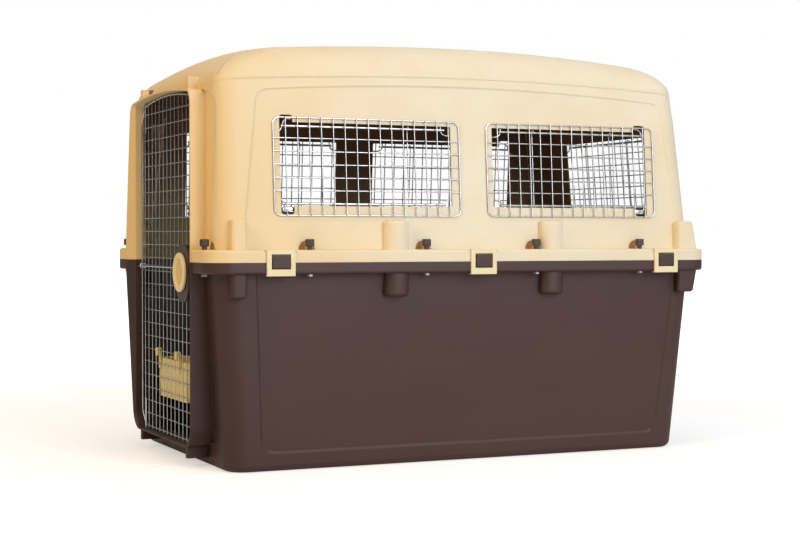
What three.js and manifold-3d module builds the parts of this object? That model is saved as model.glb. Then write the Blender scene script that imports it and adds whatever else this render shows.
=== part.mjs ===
// Airline dog crate. Two moulded shells meet at a rim with bolts, fluted nuts and
// hinged clips. Five wire grilles cover the windows. A wire mesh door swings on two
// fixed pins, carries a bowl and locks with a knob, a pinion and two sliding racks.
// Millimetres. X runs along the crate with the door at its low end, Y across, Z up.

import * as THREE from 'three';
import { mergeVertices } from 'three/addons/utils/BufferGeometryUtils.js';
import Module from 'manifold-3d';

const wasm = await Module();
wasm.setup();

// Fits and cuts
const runningGap = 0.3;
const boreGap = 0.4;
const overrun = 2;

// Rim where the shells meet
const rimLength = 1020;
const rimWidth = 640;
const rimCornerRadius = 50;
const rimLedge = 22;
const seamHeight = 368;
const upperRimHeight = 22;
const lowerRimHeight = 21;

// Walls, with their lean as shares of the distance from the seam
const shellWall = 3.2;
const wallCornerRadius = 40;
const bottomEdgeRadius = 8;
const upperDraftShares = { front: 0.022, rear: 0.089, side: 0.069 };
const lowerDraftShares = { front: 0.076, rear: 0.072, side: 0.072 };

// Shoulder and crowned roof
const roofHeight = 776;
const shoulderDrop = 72;
const shoulderFall = 14;
const shoulderStep = 1.5;
const shoulderSideWidth = 67;
const shoulderEndWidth = 40;
const straightWallDrop = 64;
const roofCrestX = 15;
const roofSpanInset = { along: 58, across: 98 };
const roofFall = { along: 25, across: 13 };

// Recessed side panels, measured from the ends of the wall, the shoulder and the floor
const panelDepth = 2.5;
const panelCorner = 30;
const upperPanel = { frontLow: 47, frontHigh: 76, rearLow: 39, rearHigh: 71, shoulderGap: 34, bow: 15 };
const lowerPanel = { frontLow: 72, frontHigh: 88, rearLow: 51, rearHigh: 78, floorGap: 35, bow: 0 };

// Half-round pilasters and corner blocks beside the rim
const pilasterSpacingShare = 0.31275;
const pilasterWidth = 48;
const pilasterProud = 18;
const upperBlockHeight = 53;
const lowerBlockHeight = 42;
const cornerBlockInset = 7;
const cornerBlockLength = 58;
const cornerBlockWidth = 45;

// Door collar. Its half outline leaves the seam, leans in and rounds to a crown or sill
const collarReach = 3;
const collarLeanShares = { upper: 0.018, lower: 0.026 };
const collarWall = 3.2;
const landSetback = 11.5;
const landDepth = 17.5;
const flareDepth = 48;
const doorwaySideInset = 136;
const collarWiderThanDoorway = 36;
const collarCrownGap = 20.5;
const collarSill = 36;
const upperCollar = { leanShare: 0.062, cornerHeight: 35.5, cornerWidth: 22, bow: 9 };
const lowerCollar = { leanShare: 0.088, cornerHeight: 40, cornerWidth: 40, bow: 0 };
const upperDoorwayCorner = { cornerHeight: 28, cornerWidth: 12, bow: 9 };
const lowerDoorwayCorner = { cornerHeight: 36, cornerWidth: 36, bow: 0 };
const collarHollow = { aboveSill: 64, belowCrown: 43.5, setback: 5.5 };

// Pin blocks over and under the doorway
const pinBlockWidth = 14;
const upperPinBlock = { setback: 15, belowCrown: 11.5, aboveCrown: 15.5 };
const lowerPinBlock = { setback: 13, belowSill: 20, aboveSill: 1 };

// Bolts and nuts round the rim
const boltRadius = 3;
const boltHead = { radius: 6.5, height: 5 };
const boltTipProud = 17;
const nutNeck = { radius: 4.5, height: 6 };
const nutHead = { radius: 8.25, height: 13 };
const nutFlutes = 7;
const nutFluteDepth = 1;
const sideBolts = { frontInset: 186.3, rearInset: 158.7, count: 4 };
const endBoltInset = 65;
const boltInset = 11.5;

// Side clips
const clips = { frontInset: 128, rearInset: 108, count: 3 };
const clipWidth = 52;
const clipThickness = 4;
const clipBarrelRadius = 3;
const clipLip = { height: 2, depth: 4 };
const clipPin = { radius: 1.5, length: 3 };
const lug = { width: 32, belowSeam: 10, aboveSeam: 13, proud: 5.5 };
const lugWindowGap = 1.5;

// Window grilles and their retainers. Insets are from the rim's ends, heights from the
// seam and from the top of the straight wall
const windowFrame = { frontInset: 125.15, rearInset: 114.55, endWallInset: 138.5, aboveSeam: 79.2, belowTop: 19.4 };
const windowGap = 54.3;
const windowWire = 3;
const windowFrameWire = 5;
const windowCells = { columns: 16, rows: 3 };
const windowFrameCorner = 4;
const windowOpening = { endInset: 15.5, lowInset: 19.8, highInset: 6.6, corner: 6 };
const windowNotch = { width: 20, above: 9, below: 13 };
const retainerRod = { radius: 2, lowInset: 3.6, highInset: 6.5, tail: 9, bend: 14 };
const retainerTieRadius = 1.1;
const retainerTieShares = [0.25, 0.72];

// Door
const doorSetback = 11.5;
const doorSideGap = 7.6;
const doorWire = 3;
const doorFrameWire = 5;
const doorSillGap = 9;
const doorRowPitch = 50.4;
const doorColumns = 14;
const doorCrownGap = 7;
const doorTopFall = 14.5;
const doorCornerCut = 25;
const hingeInset = 25.2;
const hingePinRadius = 2.5;
const hingePinReach = { top: 13.5, foot: 21 };
const hingePinGrip = 40;

// Latch
const knobInset = 37.4;
const knobBelowSeam = 19;
const knob = { radius: 35.5, proud: 22.5, thickness: 7.2, gripWidth: 15, recess: 4.5, edge: 5 };
const housing = { near: 41, far: 34, below: 53, above: 50, proud: 15, corner: 14 };
const housingWall = 2.4;
const latchPlateThickness = 2.4;
const pinion = { module: 1.5, teeth: 10, thickness: 4.6 };
const pinionShares = { tip: 1, root: 1.25, backlash: 0.35 };
const toothTaperShare = 0.36;
const knobShaftRadius = 3.6;
const rackDepth = 3.2;
const boltTip = { jambGap: 2.5, height: 6, back: 21, rackEnd: 21 };
const crossRod = { radius: 2.25, jambGap: 6, rackNear: 19, rackFar: 17, shoulder: 6 };
const rodStaple = { column: 13, radius: 1.1 };
const latchScrew = { radius: 1.6, headRadius: 3.2, headDepth: 1.6, spacing: 42, offset: 0.4 };
const clampPlate = { halfWidth: 9, thickness: 2 };

// Bowl
const bowl = { near: 110, far: 90, doorGap: 5.4, depth: 74.6, low: 109, high: 182, draft: 10 };
const bowlWall = 2.5;
const bowlCorner = 16;
const bowlHook = { cells: [4, 9], width: 12, thickness: 3, drop: 10 };
const bowlHookRow = 3;

// Materials
const finishes = {
  creamPlastic: { color: '#ecdcb2', roughness: 0.48, metalness: 0 },
  brownPlastic: { color: '#4a3330', roughness: 0.5, metalness: 0 },
  brightWire: { color: '#c9c7c3', roughness: 0.28, metalness: 1 },
  zincSteel: { color: '#a9abad', roughness: 0.4, metalness: 1 },
};

// Values that follow from the sizes above
const wallHalfLength = rimLength / 2 - rimLedge;
const wallHalfWidth = rimWidth / 2 - rimLedge;
const rimTop = seamHeight + upperRimHeight;
const rimBottom = seamHeight - lowerRimHeight;
const shoulderHeight = roofHeight - shoulderDrop;
const straightWallHeight = shoulderHeight - straightWallDrop;
const roofHalfSpan = { along: wallHalfLength - roofSpanInset.along, across: wallHalfWidth - roofSpanInset.across };
const pilasterX = pilasterSpacingShare * rimLength / 2;
const boltTipHeight = rimTop + boltTipProud;
const sideBoltFirstX = sideBolts.frontInset - rimLength / 2;
const sideBoltPitch = (rimLength - sideBolts.frontInset - sideBolts.rearInset) / (sideBolts.count - 1);
const clipFirstX = clips.frontInset - rimLength / 2;
const clipPitch = (rimLength - clips.frontInset - clips.rearInset) / (clips.count - 1);
const collarFrontX = -rimLength / 2 - collarReach;
const collarCrown = shoulderHeight - collarCrownGap;
const landFrontX = collarFrontX + landSetback;
const landBackX = landFrontX + landDepth;
const flareBackX = flareDepth - wallHalfLength;
const doorX = landFrontX + doorSetback;
const doorwayHalfWidth = rimWidth / 2 - doorwaySideInset;
const doorHalfWidth = doorwayHalfWidth - doorSideGap;
const doorSillHeight = collarSill + doorSillGap;
const doorTopMiddle = collarCrown - doorCrownGap;
const doorTopEdge = doorTopMiddle - doorTopFall;
const doorRows = Math.floor((doorTopEdge - doorSillHeight) / doorRowPitch);
const hingeY = doorHalfWidth - hingeInset;
const hingePinTop = doorTopMiddle + hingePinReach.top;
const hingePinFoot = doorSillHeight - hingePinReach.foot;
const windowLow = seamHeight + windowFrame.aboveSeam;
const windowHigh = straightWallHeight - windowFrame.belowTop;
const sideWindowWidth = (rimLength - windowFrame.frontInset - windowFrame.rearInset - windowGap) / 2;
const rearWindowWidth = rimWidth - 2 * windowFrame.endWallInset;
const openingLow = windowLow + windowOpening.lowInset;
const openingHigh = windowHigh - windowOpening.highInset;
const pitchRadius = pinion.module * pinion.teeth / 2;
const latchThrow = pitchRadius * Math.PI / 2;
const latchBackX = doorX - doorFrameWire / 2 - runningGap;
const latchX = latchBackX - latchPlateThickness - runningGap - pinion.thickness / 2;
const knobY = knobInset - doorHalfWidth;
const knobHeight = seamHeight - knobBelowSeam;
const knobFrontX = doorX - knob.proud;
const housingFrontX = doorX - housing.proud;
const boltTipZ = knobHeight - pitchRadius;
const boltTipRestY = boltTip.jambGap - doorwayHalfWidth;
const crossRodRestY = doorwayHalfWidth - crossRod.jambGap;
const latchScrewY = knobY + latchScrew.offset;
const latchScrewHeights = [knobHeight - latchScrew.spacing, knobHeight + latchScrew.spacing];
const bowlFrontX = doorX + bowl.doorGap;

// Geometry helpers

// A closed three.js geometry as a solid for joining and cutting
function solid(geometry) {
  const bare = geometry.clone();
  bare.deleteAttribute('normal');
  bare.deleteAttribute('uv');
  const merged = mergeVertices(bare);
  return solidFromFaces(Array.from(merged.attributes.position.array), Array.from(merged.index.array));
}

// A solid from flat lists of coordinates and corners, turned outward by its volume
function solidFromFaces(coordinates, corners) {
  let volume = 0;
  const point = (corner) => new THREE.Vector3().fromArray(coordinates, corner * 3);
  for (let i = 0; i < corners.length; i += 3) {
    const [a, b, c] = [point(corners[i]), point(corners[i + 1]), point(corners[i + 2])];
    volume += a.dot(b.cross(c));
  }
  const triVerts = new Uint32Array(volume < 0 ? corners.toReversed() : corners);
  return new wasm.Manifold(new wasm.Mesh({
    numProp: 3,
    vertProperties: new Float32Array(coordinates),
    triVerts,
  }));
}

function meanOf(points) {
  const sum = points.reduce((total, p) => total.add(p), new THREE.Vector3());
  return sum.divideScalar(points.length);
}

// A skin through rings of equal point counts, each end closed by a fan to a centre
function loft(rings, lastCentre = meanOf(rings.at(-1))) {
  const count = rings[0].length;
  const points = [...rings.flat(), meanOf(rings[0]), lastCentre];
  const firstCentre = points.length - 2;
  const corners = [];
  for (let i = 0; i < count; i += 1) {
    const next = (i + 1) % count;
    for (let r = 0; r + 1 < rings.length; r += 1) {
      const [a, b] = [r * count + i, r * count + next];
      corners.push(a, b, b + count, a, b + count, a + count);
    }
    const top = (rings.length - 1) * count;
    corners.push(next, i, firstCentre, top + i, top + next, firstCentre + 1);
  }
  return solidFromFaces(points.flatMap((p) => p.toArray()), corners);
}

function block([x0, x1], [y0, y1], [z0, z1]) {
  const geometry = new THREE.BoxGeometry(x1 - x0, y1 - y0, z1 - z0);
  geometry.translate((x0 + x1) / 2, (y0 + y1) / 2, (z0 + z1) / 2);
  return solid(geometry);
}

// A cylinder along one axis between two stations, at a centre on the other axes
function pin(axis, radius, [start, end], centre, sides = 12) {
  const geometry = new THREE.CylinderGeometry(radius, radius, end - start, sides);
  if (axis === 'x') geometry.rotateZ(-Math.PI / 2);
  if (axis === 'z') geometry.rotateX(Math.PI / 2);
  const place = new THREE.Vector3(centre.x ?? 0, centre.y ?? 0, centre.z ?? 0);
  place[axis] = (start + end) / 2;
  geometry.translate(...place.toArray());
  return solid(geometry);
}

// A round wire through points, with its rings square to the path
function wire(points, radius, sides = 6) {
  const path = points.map((p) => new THREE.Vector3(...p));
  const ends = path.at(-1).clone().sub(path[0]).normalize();
  const up = Math.abs(ends.z) > Math.SQRT1_2 ? new THREE.Vector3(1, 0, 0) : new THREE.Vector3(0, 0, 1);
  const rings = path.map((p, i) => {
    const before = path[Math.max(i - 1, 0)];
    const after = path[Math.min(i + 1, path.length - 1)];
    const tangent = after.clone().sub(before).normalize();
    const side = tangent.clone().cross(up).normalize();
    const lift = side.clone().cross(tangent);
    return Array.from({ length: sides }, (_, k) => {
      const angle = (k + 1 / 2) * 2 * Math.PI / sides;
      return p.clone()
        .addScaledVector(side, radius * Math.cos(angle))
        .addScaledVector(lift, radius * Math.sin(angle));
    });
  });
  return loft(rings);
}

// A straight body between two stations on Y, from an outline in X and Z
function prismAlongY(outline, [y0, y1]) {
  const geometry = new THREE.ExtrudeGeometry(outline, { depth: y1 - y0, bevelEnabled: false, curveSegments: 5 });
  geometry.rotateX(Math.PI / 2);
  geometry.translate(0, y1, 0);
  return solid(geometry);
}

// A straight body between two stations on X, from an outline in Y and Z
function prismAlongX(outline, [x0, x1], curveSegments = 5) {
  const geometry = new THREE.ExtrudeGeometry(outline, { depth: x1 - x0, bevelEnabled: false, curveSegments });
  const [x, y, z] = [new THREE.Vector3(1, 0, 0), new THREE.Vector3(0, 1, 0), new THREE.Vector3(0, 0, 1)];
  geometry.applyMatrix4(new THREE.Matrix4().makeBasis(y, z, x));
  geometry.translate(x0, 0, 0);
  return solid(geometry);
}

function join(solids) {
  return solids.reduce((whole, piece) => whole.add(piece));
}

// A rectangle with rounded corners and divided sides, anticlockwise from above
function roundedRing({ xMin, xMax, yMin, yMax, radius }, heightAt) {
  const cornerSteps = 4;
  const sideSteps = { along: 4, across: 2 };
  const centres = [
    [xMax - radius, yMin + radius],
    [xMax - radius, yMax - radius],
    [xMin + radius, yMax - radius],
    [xMin + radius, yMin + radius],
  ];
  const arcs = centres.map(([x, y], corner) => Array.from({ length: cornerSteps + 1 }, (_, i) => {
    const angle = (corner - 1 + i / cornerSteps) * Math.PI / 2;
    return new THREE.Vector2(x + radius * Math.cos(angle), y + radius * Math.sin(angle));
  }));
  const flat = arcs.flatMap((arc, corner) => {
    const nextStart = arcs[(corner + 1) % arcs.length][0];
    const steps = corner % 2 === 0 ? sideSteps.across : sideSteps.along;
    const side = Array.from({ length: steps - 1 }, (_, i) => arc.at(-1).clone().lerp(nextStart, (i + 1) / steps));
    return [...arc, ...side];
  });
  return flat.map(({ x, y }) => new THREE.Vector3(x, y, heightAt(x, y)));
}

// A mesh for the scene from a finished solid
function subpart(name, body, finish) {
  const { vertProperties, triVerts } = body.getMesh();
  const geometry = new THREE.BufferGeometry();
  geometry.setAttribute('position', new THREE.BufferAttribute(vertProperties, 3));
  geometry.setIndex(new THREE.BufferAttribute(triVerts, 1));
  geometry.computeVertexNormals();
  const material = new THREE.MeshStandardMaterial({ ...finishes[finish], flatShading: true });
  const mesh = new THREE.Mesh(geometry, material);
  mesh.name = name;
  return mesh;
}

// Shells

// The wall of one shell at a height, moved inward by an inset, as ring limits
function wallLimits(draftShares, height, inset) {
  const rise = Math.abs(height - seamHeight);
  return {
    xMin: -(wallHalfLength - draftShares.front * rise - inset),
    xMax: wallHalfLength - draftShares.rear * rise - inset,
    yMin: -(wallHalfWidth - draftShares.side * rise - inset),
    yMax: wallHalfWidth - draftShares.side * rise - inset,
    radius: wallCornerRadius - inset,
  };
}

function shoulderAt(x) {
  return shoulderHeight - shoulderFall * ((x - roofCrestX) / roofHalfSpan.along) ** 2;
}

function roofAt(x, y) {
  const along = ((x - roofCrestX) / roofHalfSpan.along) ** 2;
  const across = (y / roofHalfSpan.across) ** 2;
  return roofHeight - roofFall.along * along - roofFall.across * across;
}

// Walls, shoulder and crowned roof of the upper shell, moved inward by an inset
function upperForm(inset, foot = seamHeight) {
  const shoulderSteps = 3;
  const roofRingShares = [0.66, 0.33];
  const limits = (height, extra = 0) => wallLimits(upperDraftShares, height, inset + extra);
  const top = limits(shoulderHeight, shoulderStep);
  const rings = [
    roundedRing(limits(foot), () => foot),
    roundedRing(limits(straightWallHeight), () => straightWallHeight),
    roundedRing(limits(shoulderHeight), (x) => shoulderAt(x) - inset),
  ];
  for (let step = 0; step <= shoulderSteps; step += 1) {
    const angle = (step / shoulderSteps) * Math.PI / 2;
    const sideIn = (shoulderSideWidth - shoulderStep) * (1 - Math.cos(angle));
    const endIn = (shoulderEndWidth - shoulderStep) * (1 - Math.cos(angle));
    const ring = {
      xMin: top.xMin + endIn,
      xMax: top.xMax - endIn,
      yMin: top.yMin + sideIn,
      yMax: top.yMax - sideIn,
      radius: top.radius + endIn,
    };
    const rise = Math.sin(angle);
    rings.push(roundedRing(ring, (x, y) => shoulderAt(x) * (1 - rise) + roofAt(x, y) * rise - inset));
  }
  const edge = rings.at(-1);
  for (const share of roofRingShares) {
    rings.push(edge.map(({ x, y }) => {
      const [px, py] = [roofCrestX + (x - roofCrestX) * share, y * share];
      return new THREE.Vector3(px, py, roofAt(px, py) - inset);
    }));
  }
  return loft(rings, new THREE.Vector3(roofCrestX, 0, roofHeight - inset));
}

// Walls and rounded floor edge of the lower shell, moved inward by an inset
function lowerForm(inset, floor, head = seamHeight) {
  const edgeSteps = 3;
  const radius = bottomEdgeRadius - Math.min(inset, shellWall);
  const rings = [];
  for (let step = 0; step <= edgeSteps; step += 1) {
    const angle = (step / edgeSteps) * Math.PI / 2;
    const height = floor + radius * (1 - Math.cos(angle));
    const extra = radius * (1 - Math.sin(angle));
    rings.push(roundedRing(wallLimits(lowerDraftShares, height, inset + extra), () => height));
  }
  rings.push(roundedRing(wallLimits(lowerDraftShares, head, inset), () => head));
  return loft(rings);
}

// The recessed panel outline, from the rim to its far end, grown by a margin
function panelOutline(panel, start, far, margin = 0) {
  const direction = Math.sign(far - start);
  const corner = direction * panelCorner;
  const end = far + direction * margin;
  const reach = wallHalfLength + margin;
  const [frontHigh, rearHigh] = [panel.frontHigh - reach, reach - panel.rearHigh];
  const middle = (frontHigh + rearHigh) / 2;
  const outline = new THREE.Shape();
  outline.moveTo(panel.frontLow - reach, start);
  outline.lineTo(frontHigh, end - corner);
  outline.quadraticCurveTo(frontHigh, end, frontHigh + panelCorner, end);
  outline.quadraticCurveTo(middle, end + 2 * panel.bow, rearHigh - panelCorner, end);
  outline.quadraticCurveTo(rearHigh, end, rearHigh, end - corner);
  outline.lineTo(reach - panel.rearLow, start);
  return outline;
}

// A form whose side walls step inward inside the panel outline
function withPanels(form, deeperForm, outline) {
  const prism = prismAlongY(outline, [-rimWidth / 2, rimWidth / 2]);
  return form.subtract(prism.subtract(deeperForm));
}

// Pilasters on both long walls, from the rim outward in Z, made smaller by an inset
function pilasters(start, length, draft, inset) {
  const end = start + length - Math.sign(length) * inset;
  const posts = [];
  for (const x of [-pilasterX, pilasterX]) {
    for (const side of [-1, 1]) {
      const geometry = new THREE.CylinderGeometry(1, 1, Math.abs(end - start), 12);
      geometry.rotateX(Math.PI / 2);
      geometry.scale(pilasterWidth / 2 - inset, pilasterProud - inset, 1);
      const wallY = wallHalfWidth - draft * Math.abs(start - seamHeight);
      geometry.translate(x, side * wallY, (start + end) / 2);
      posts.push(solid(geometry));
    }
  }
  return join(posts);
}

// Corner blocks that follow the rim's rounded corners, made smaller by an inset
function cornerBlocks(start, height, inset) {
  const end = start + height - Math.sign(height) * inset;
  const [low, high] = [Math.min(start, end), Math.max(start, end)];
  const margin = cornerBlockInset + inset;
  const limits = {
    xMin: -rimLength / 2 + margin,
    xMax: rimLength / 2 - margin,
    yMin: -rimWidth / 2 + margin,
    yMax: rimWidth / 2 - margin,
    radius: rimCornerRadius - margin,
  };
  const slab = loft([low, high].map((z) => roundedRing(limits, () => z)));
  const corners = [];
  for (const sx of [-1, 1]) {
    for (const sy of [-1, 1]) {
      const xs = [sx * (limits.xMax - cornerBlockLength + 2 * inset), sx * (limits.xMax + overrun)];
      const ys = [sy * (limits.yMax - cornerBlockWidth + 2 * inset), sy * (limits.yMax + overrun)];
      const order = (pair) => pair.toSorted((a, b) => a - b);
      corners.push(block(order(xs), order(ys), [low - overrun, high + overrun]));
    }
  }
  return slab.intersect(join(corners));
}

// A rim band between two heights
function rimBand(low, high) {
  const limits = {
    xMin: -rimLength / 2,
    xMax: rimLength / 2,
    yMin: -rimWidth / 2,
    yMax: rimWidth / 2,
    radius: rimCornerRadius,
  };
  return loft([low, high].map((z) => roundedRing(limits, () => z)));
}

// Half outlines mirrored across Y, from the seam to a crown or a sill, as [y, z] pairs
function doorwayOutline({ half, leanShare, end, cornerHeight, cornerWidth, bow }, inset = 0, backOff = 0) {
  const cornerSteps = 4;
  const bowSteps = 2;
  const direction = Math.sign(end - seamHeight);
  const tip = end - direction * inset;
  const cornerZ = tip - direction * cornerHeight;
  const halfAt = (z) => half - leanShare * Math.abs(z - seamHeight) - inset;
  const start = seamHeight - direction * backOff;
  const right = [[halfAt(seamHeight), start]];
  for (let i = 0; i <= cornerSteps; i += 1) {
    const angle = (i / cornerSteps) * Math.PI / 2;
    right.push([
      halfAt(cornerZ) - cornerWidth * (1 - Math.cos(angle)),
      cornerZ + direction * (cornerHeight - bow) * Math.sin(angle),
    ]);
  }
  const bowHalf = right.at(-1)[0];
  for (let i = 1; i <= bowSteps; i += 1) {
    const y = bowHalf * (1 - i / bowSteps);
    right.push([y, tip - direction * bow * (y / bowHalf) ** 2]);
  }
  const left = right.slice(0, -1).toReversed().map(([y, z]) => [-y, z]);
  return [...right, ...left];
}

// A body between two doorway outlines, each at its own X, which may lean with height
function doorwayLoft(front, frontAt, back, backX) {
  return loft([
    front.map(([y, z]) => new THREE.Vector3(frontAt(z), y, z)),
    back.map(([y, z]) => new THREE.Vector3(backX, y, z)),
  ]);
}

function collarFrontAt(leanShare, moved = 0) {
  return (z) => collarFrontX + moved + leanShare * Math.abs(z - seamHeight);
}

// The outline of one shell's collar, from its end height and its corner
function collarOutline(end, corner, inset = 0, backOff = 0) {
  return doorwayOutline({ half: doorwayHalfWidth + collarWiderThanDoorway, end, ...corner }, inset, backOff);
}

// The opening for one shell: a funnel, a land, the flared back and the hollow flanks
function doorwayCut(end, collar, doorwayCorner, leanShare) {
  const direction = Math.sign(end - seamHeight);
  const doorway = { half: doorwayHalfWidth, leanShare: 0, end: end - direction * collarWall, ...doorwayCorner };
  const land = doorwayOutline(doorway, 0, overrun);
  const lip = collarOutline(end, collar, collarWall, overrun);
  const leg = doorwayOutline(doorway, -collarWall, overrun);
  const funnel = doorwayLoft(lip, collarFrontAt(leanShare, -runningGap), land, landFrontX);
  const throat = doorwayLoft(land, () => landFrontX - runningGap, land, landBackX + runningGap);
  const flare = doorwayLoft(lip, () => landBackX, lip, flareBackX);
  const hollowFrontX = landFrontX + collarHollow.setback;
  const hollow = doorwayLoft(lip, () => hollowFrontX, lip, landBackX + runningGap)
    .subtract(doorwayLoft(leg, () => hollowFrontX - overrun, leg, landBackX + overrun))
    .intersect(block(
      [collarFrontX, flareBackX],
      [-rimWidth / 2, rimWidth / 2],
      [collarSill + collarHollow.aboveSill, collarCrown - collarHollow.belowCrown],
    ));
  return join([funnel, throat, flare, hollow]);
}

function pinBlocks(setback, heights) {
  return join([-hingeY, hingeY].map((y) => block(
    [collarFrontX + setback, doorX + pinBlockWidth * 2],
    [y - pinBlockWidth / 2, y + pinBlockWidth / 2],
    heights,
  )));
}

function pinBores(low, high) {
  const radius = hingePinRadius + boreGap;
  return join([-hingeY, hingeY].map((y) => pin('z', radius, [low, high], { x: doorX, y })));
}

// Places of the rim bolts
const boltPlaces = [];
for (const side of [-1, 1]) {
  for (let i = 0; i < sideBolts.count; i += 1) {
    boltPlaces.push({ x: sideBoltFirstX + i * sideBoltPitch, y: side * (rimWidth / 2 - boltInset) });
  }
}
for (const end of [-1, 1]) {
  boltPlaces.push({ x: end * (rimLength / 2 - boltInset), y: endBoltInset - rimWidth / 2 });
  boltPlaces.push({ x: end * (rimLength / 2 - boltInset), y: rimWidth / 2 - endBoltInset });
}

const boltSides = 6;
const boreRadius = boltRadius + boreGap;
const boltHoles = join(boltPlaces.map((place) => pin(
  'z',
  boreRadius,
  [rimBottom - overrun, rimTop + overrun],
  place,
  boltSides,
)));

// Side clips turn on a barrel that sits in a slot in the upper rim's outer top edge

const clipAxis = { y: rimWidth / 2 - clipBarrelRadius / 2 - runningGap, z: rimTop - clipBarrelRadius };
const clipXs = Array.from({ length: clips.count }, (_, i) => clipFirstX + i * clipPitch);
const lugHeights = [seamHeight - lug.belowSeam, seamHeight + lug.aboveSeam];

// The slot for one clip on the +Y side, with bores for its end pins
function clipSlot(x) {
  const reach = clipBarrelRadius + runningGap;
  const span = [x - clipWidth / 2 - runningGap, x + clipWidth / 2 + runningGap];
  const edge = rimWidth / 2 + overrun;
  const boreSpan = [span[0] - clipPin.length, span[1] + clipPin.length];
  return join([
    pin('x', reach / Math.cos(Math.PI / 8), span, clipAxis, 8),
    block(span, [clipAxis.y - reach, edge], [clipAxis.z, rimTop + overrun]),
    block(span, [clipAxis.y, edge], [clipAxis.z - reach, rimTop + overrun]),
    pin('x', clipPin.radius + boreGap, boreSpan, clipAxis, 8),
  ]);
}

// The tongue of the lower shell that stands up through a clip's window, on the +Y side
function clipLug(x) {
  const span = [x - lug.width / 2, x + lug.width / 2];
  const face = rimWidth / 2;
  return join([
    block(span, [face - overrun, face + lug.proud], [lugHeights[0], seamHeight]),
    block(span, [face + runningGap, face + lug.proud], [seamHeight - overrun, lugHeights[1]]),
  ]);
}

// One clip on the +Y side: barrel with end pins, windowed plate and a lip below the rim
function clipBody(x) {
  const face = rimWidth / 2 + runningGap;
  const lipHeights = [rimBottom - runningGap - clipLip.height, rimBottom - runningGap];
  const span = [x - clipWidth / 2, x + clipWidth / 2];
  const window = block(
    [x - lug.width / 2 - lugWindowGap, x + lug.width / 2 + lugWindowGap],
    [face - overrun, face + clipThickness + overrun],
    [lugHeights[0] - lugWindowGap, lugHeights[1] + lugWindowGap],
  );
  return join([
    pin('x', clipBarrelRadius, span, clipAxis, 8),
    pin('x', clipPin.radius, [span[0] - clipPin.length, span[1] + clipPin.length], clipAxis, 8),
    block(span, [clipAxis.y, face + clipThickness], [clipAxis.z - clipBarrelRadius, rimTop]),
    block(span, [face, face + clipThickness], [lipHeights[0], rimTop]),
    block(span, [rimWidth / 2 - clipLip.depth, face + clipThickness], lipHeights),
  ]).subtract(window);
}

// The same feature on both long sides
function onBothSides(feature) {
  return clipXs.map((x) => feature(x).add(feature(x).mirror([0, 1, 0])));
}

// Window openings, with a notch over and under the end that is nearer a crate end

function windowOutline(left, right) {
  const { corner } = windowOpening;
  const [low, high] = [openingLow, openingHigh];
  const outline = new THREE.Shape();
  outline.moveTo(left + corner, low);
  outline.lineTo(right - corner, low);
  outline.lineTo(right, low + corner);
  outline.lineTo(right, high - corner);
  outline.lineTo(right - corner, high);
  outline.lineTo(left + corner, high);
  outline.lineTo(left, high - corner);
  outline.lineTo(left, low + corner);
  return outline;
}

// The cut for one window through the walls between two stations on Y
function windowCut(centre, width, depths) {
  const outerSide = Math.sign(centre) || 1;
  const half = width / 2 - windowOpening.endInset;
  const end = centre + outerSide * half;
  const span = [end, end - outerSide * windowNotch.width].toSorted((a, b) => a - b);
  const heights = [openingLow - windowNotch.below, openingHigh + windowNotch.above];
  return prismAlongY(windowOutline(centre - half, centre + half), depths).add(block(span, depths, heights));
}

const windowXs = [
  windowFrame.frontInset + sideWindowWidth / 2 - rimLength / 2,
  rimLength / 2 - windowFrame.rearInset - sideWindowWidth / 2,
];

// Upper and lower shell

function upperShell() {
  const far = rimWidth / 2 + overrun;
  const panelEnd = shoulderHeight - upperPanel.shoulderGap;
  const panel = panelOutline(upperPanel, rimTop, panelEnd);
  const innerPanel = panelOutline(upperPanel, rimTop, panelEnd, shellWall);
  const skin = withPanels(upperForm(0), upperForm(panelDepth), panel);
  const cavityFoot = seamHeight - overrun;
  const cavity = withPanels(
    upperForm(shellWall, cavityFoot),
    upperForm(shellWall + panelDepth, cavityFoot),
    innerPanel,
  );
  const draft = upperDraftShares.side;
  const outline = collarOutline(collarCrown, upperCollar);
  const collar = doorwayLoft(outline, collarFrontAt(collarLeanShares.upper), outline, flareBackX);
  const pinHeights = [collarCrown - upperPinBlock.belowCrown, collarCrown + upperPinBlock.aboveCrown];
  const outside = join([
    skin,
    rimBand(seamHeight, rimTop),
    pilasters(rimTop, upperBlockHeight, draft, 0),
    cornerBlocks(rimTop, upperBlockHeight, 0),
    collar,
    pinBlocks(upperPinBlock.setback, pinHeights),
  ]);
  const inside = join([
    cavity,
    pilasters(rimTop, upperBlockHeight, draft, shellWall),
    cornerBlocks(rimTop, upperBlockHeight, shellWall),
  ]);
  const rearWindow = windowCut(0, rearWindowWidth, [wallHalfLength / 2, rimLength / 2 + overrun])
    .rotate([0, 0, -90]);
  return outside
    .subtract(inside)
    .subtract(doorwayCut(collarCrown, upperCollar, upperDoorwayCorner, collarLeanShares.upper))
    .subtract(join(windowXs.map((x) => windowCut(x, sideWindowWidth, [-far, far]))))
    .subtract(rearWindow)
    .subtract(boltHoles)
    .subtract(join(onBothSides(clipSlot)))
    .subtract(pinBores(pinHeights[0] - pinBlockWidth, hingePinTop + runningGap));
}

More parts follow.
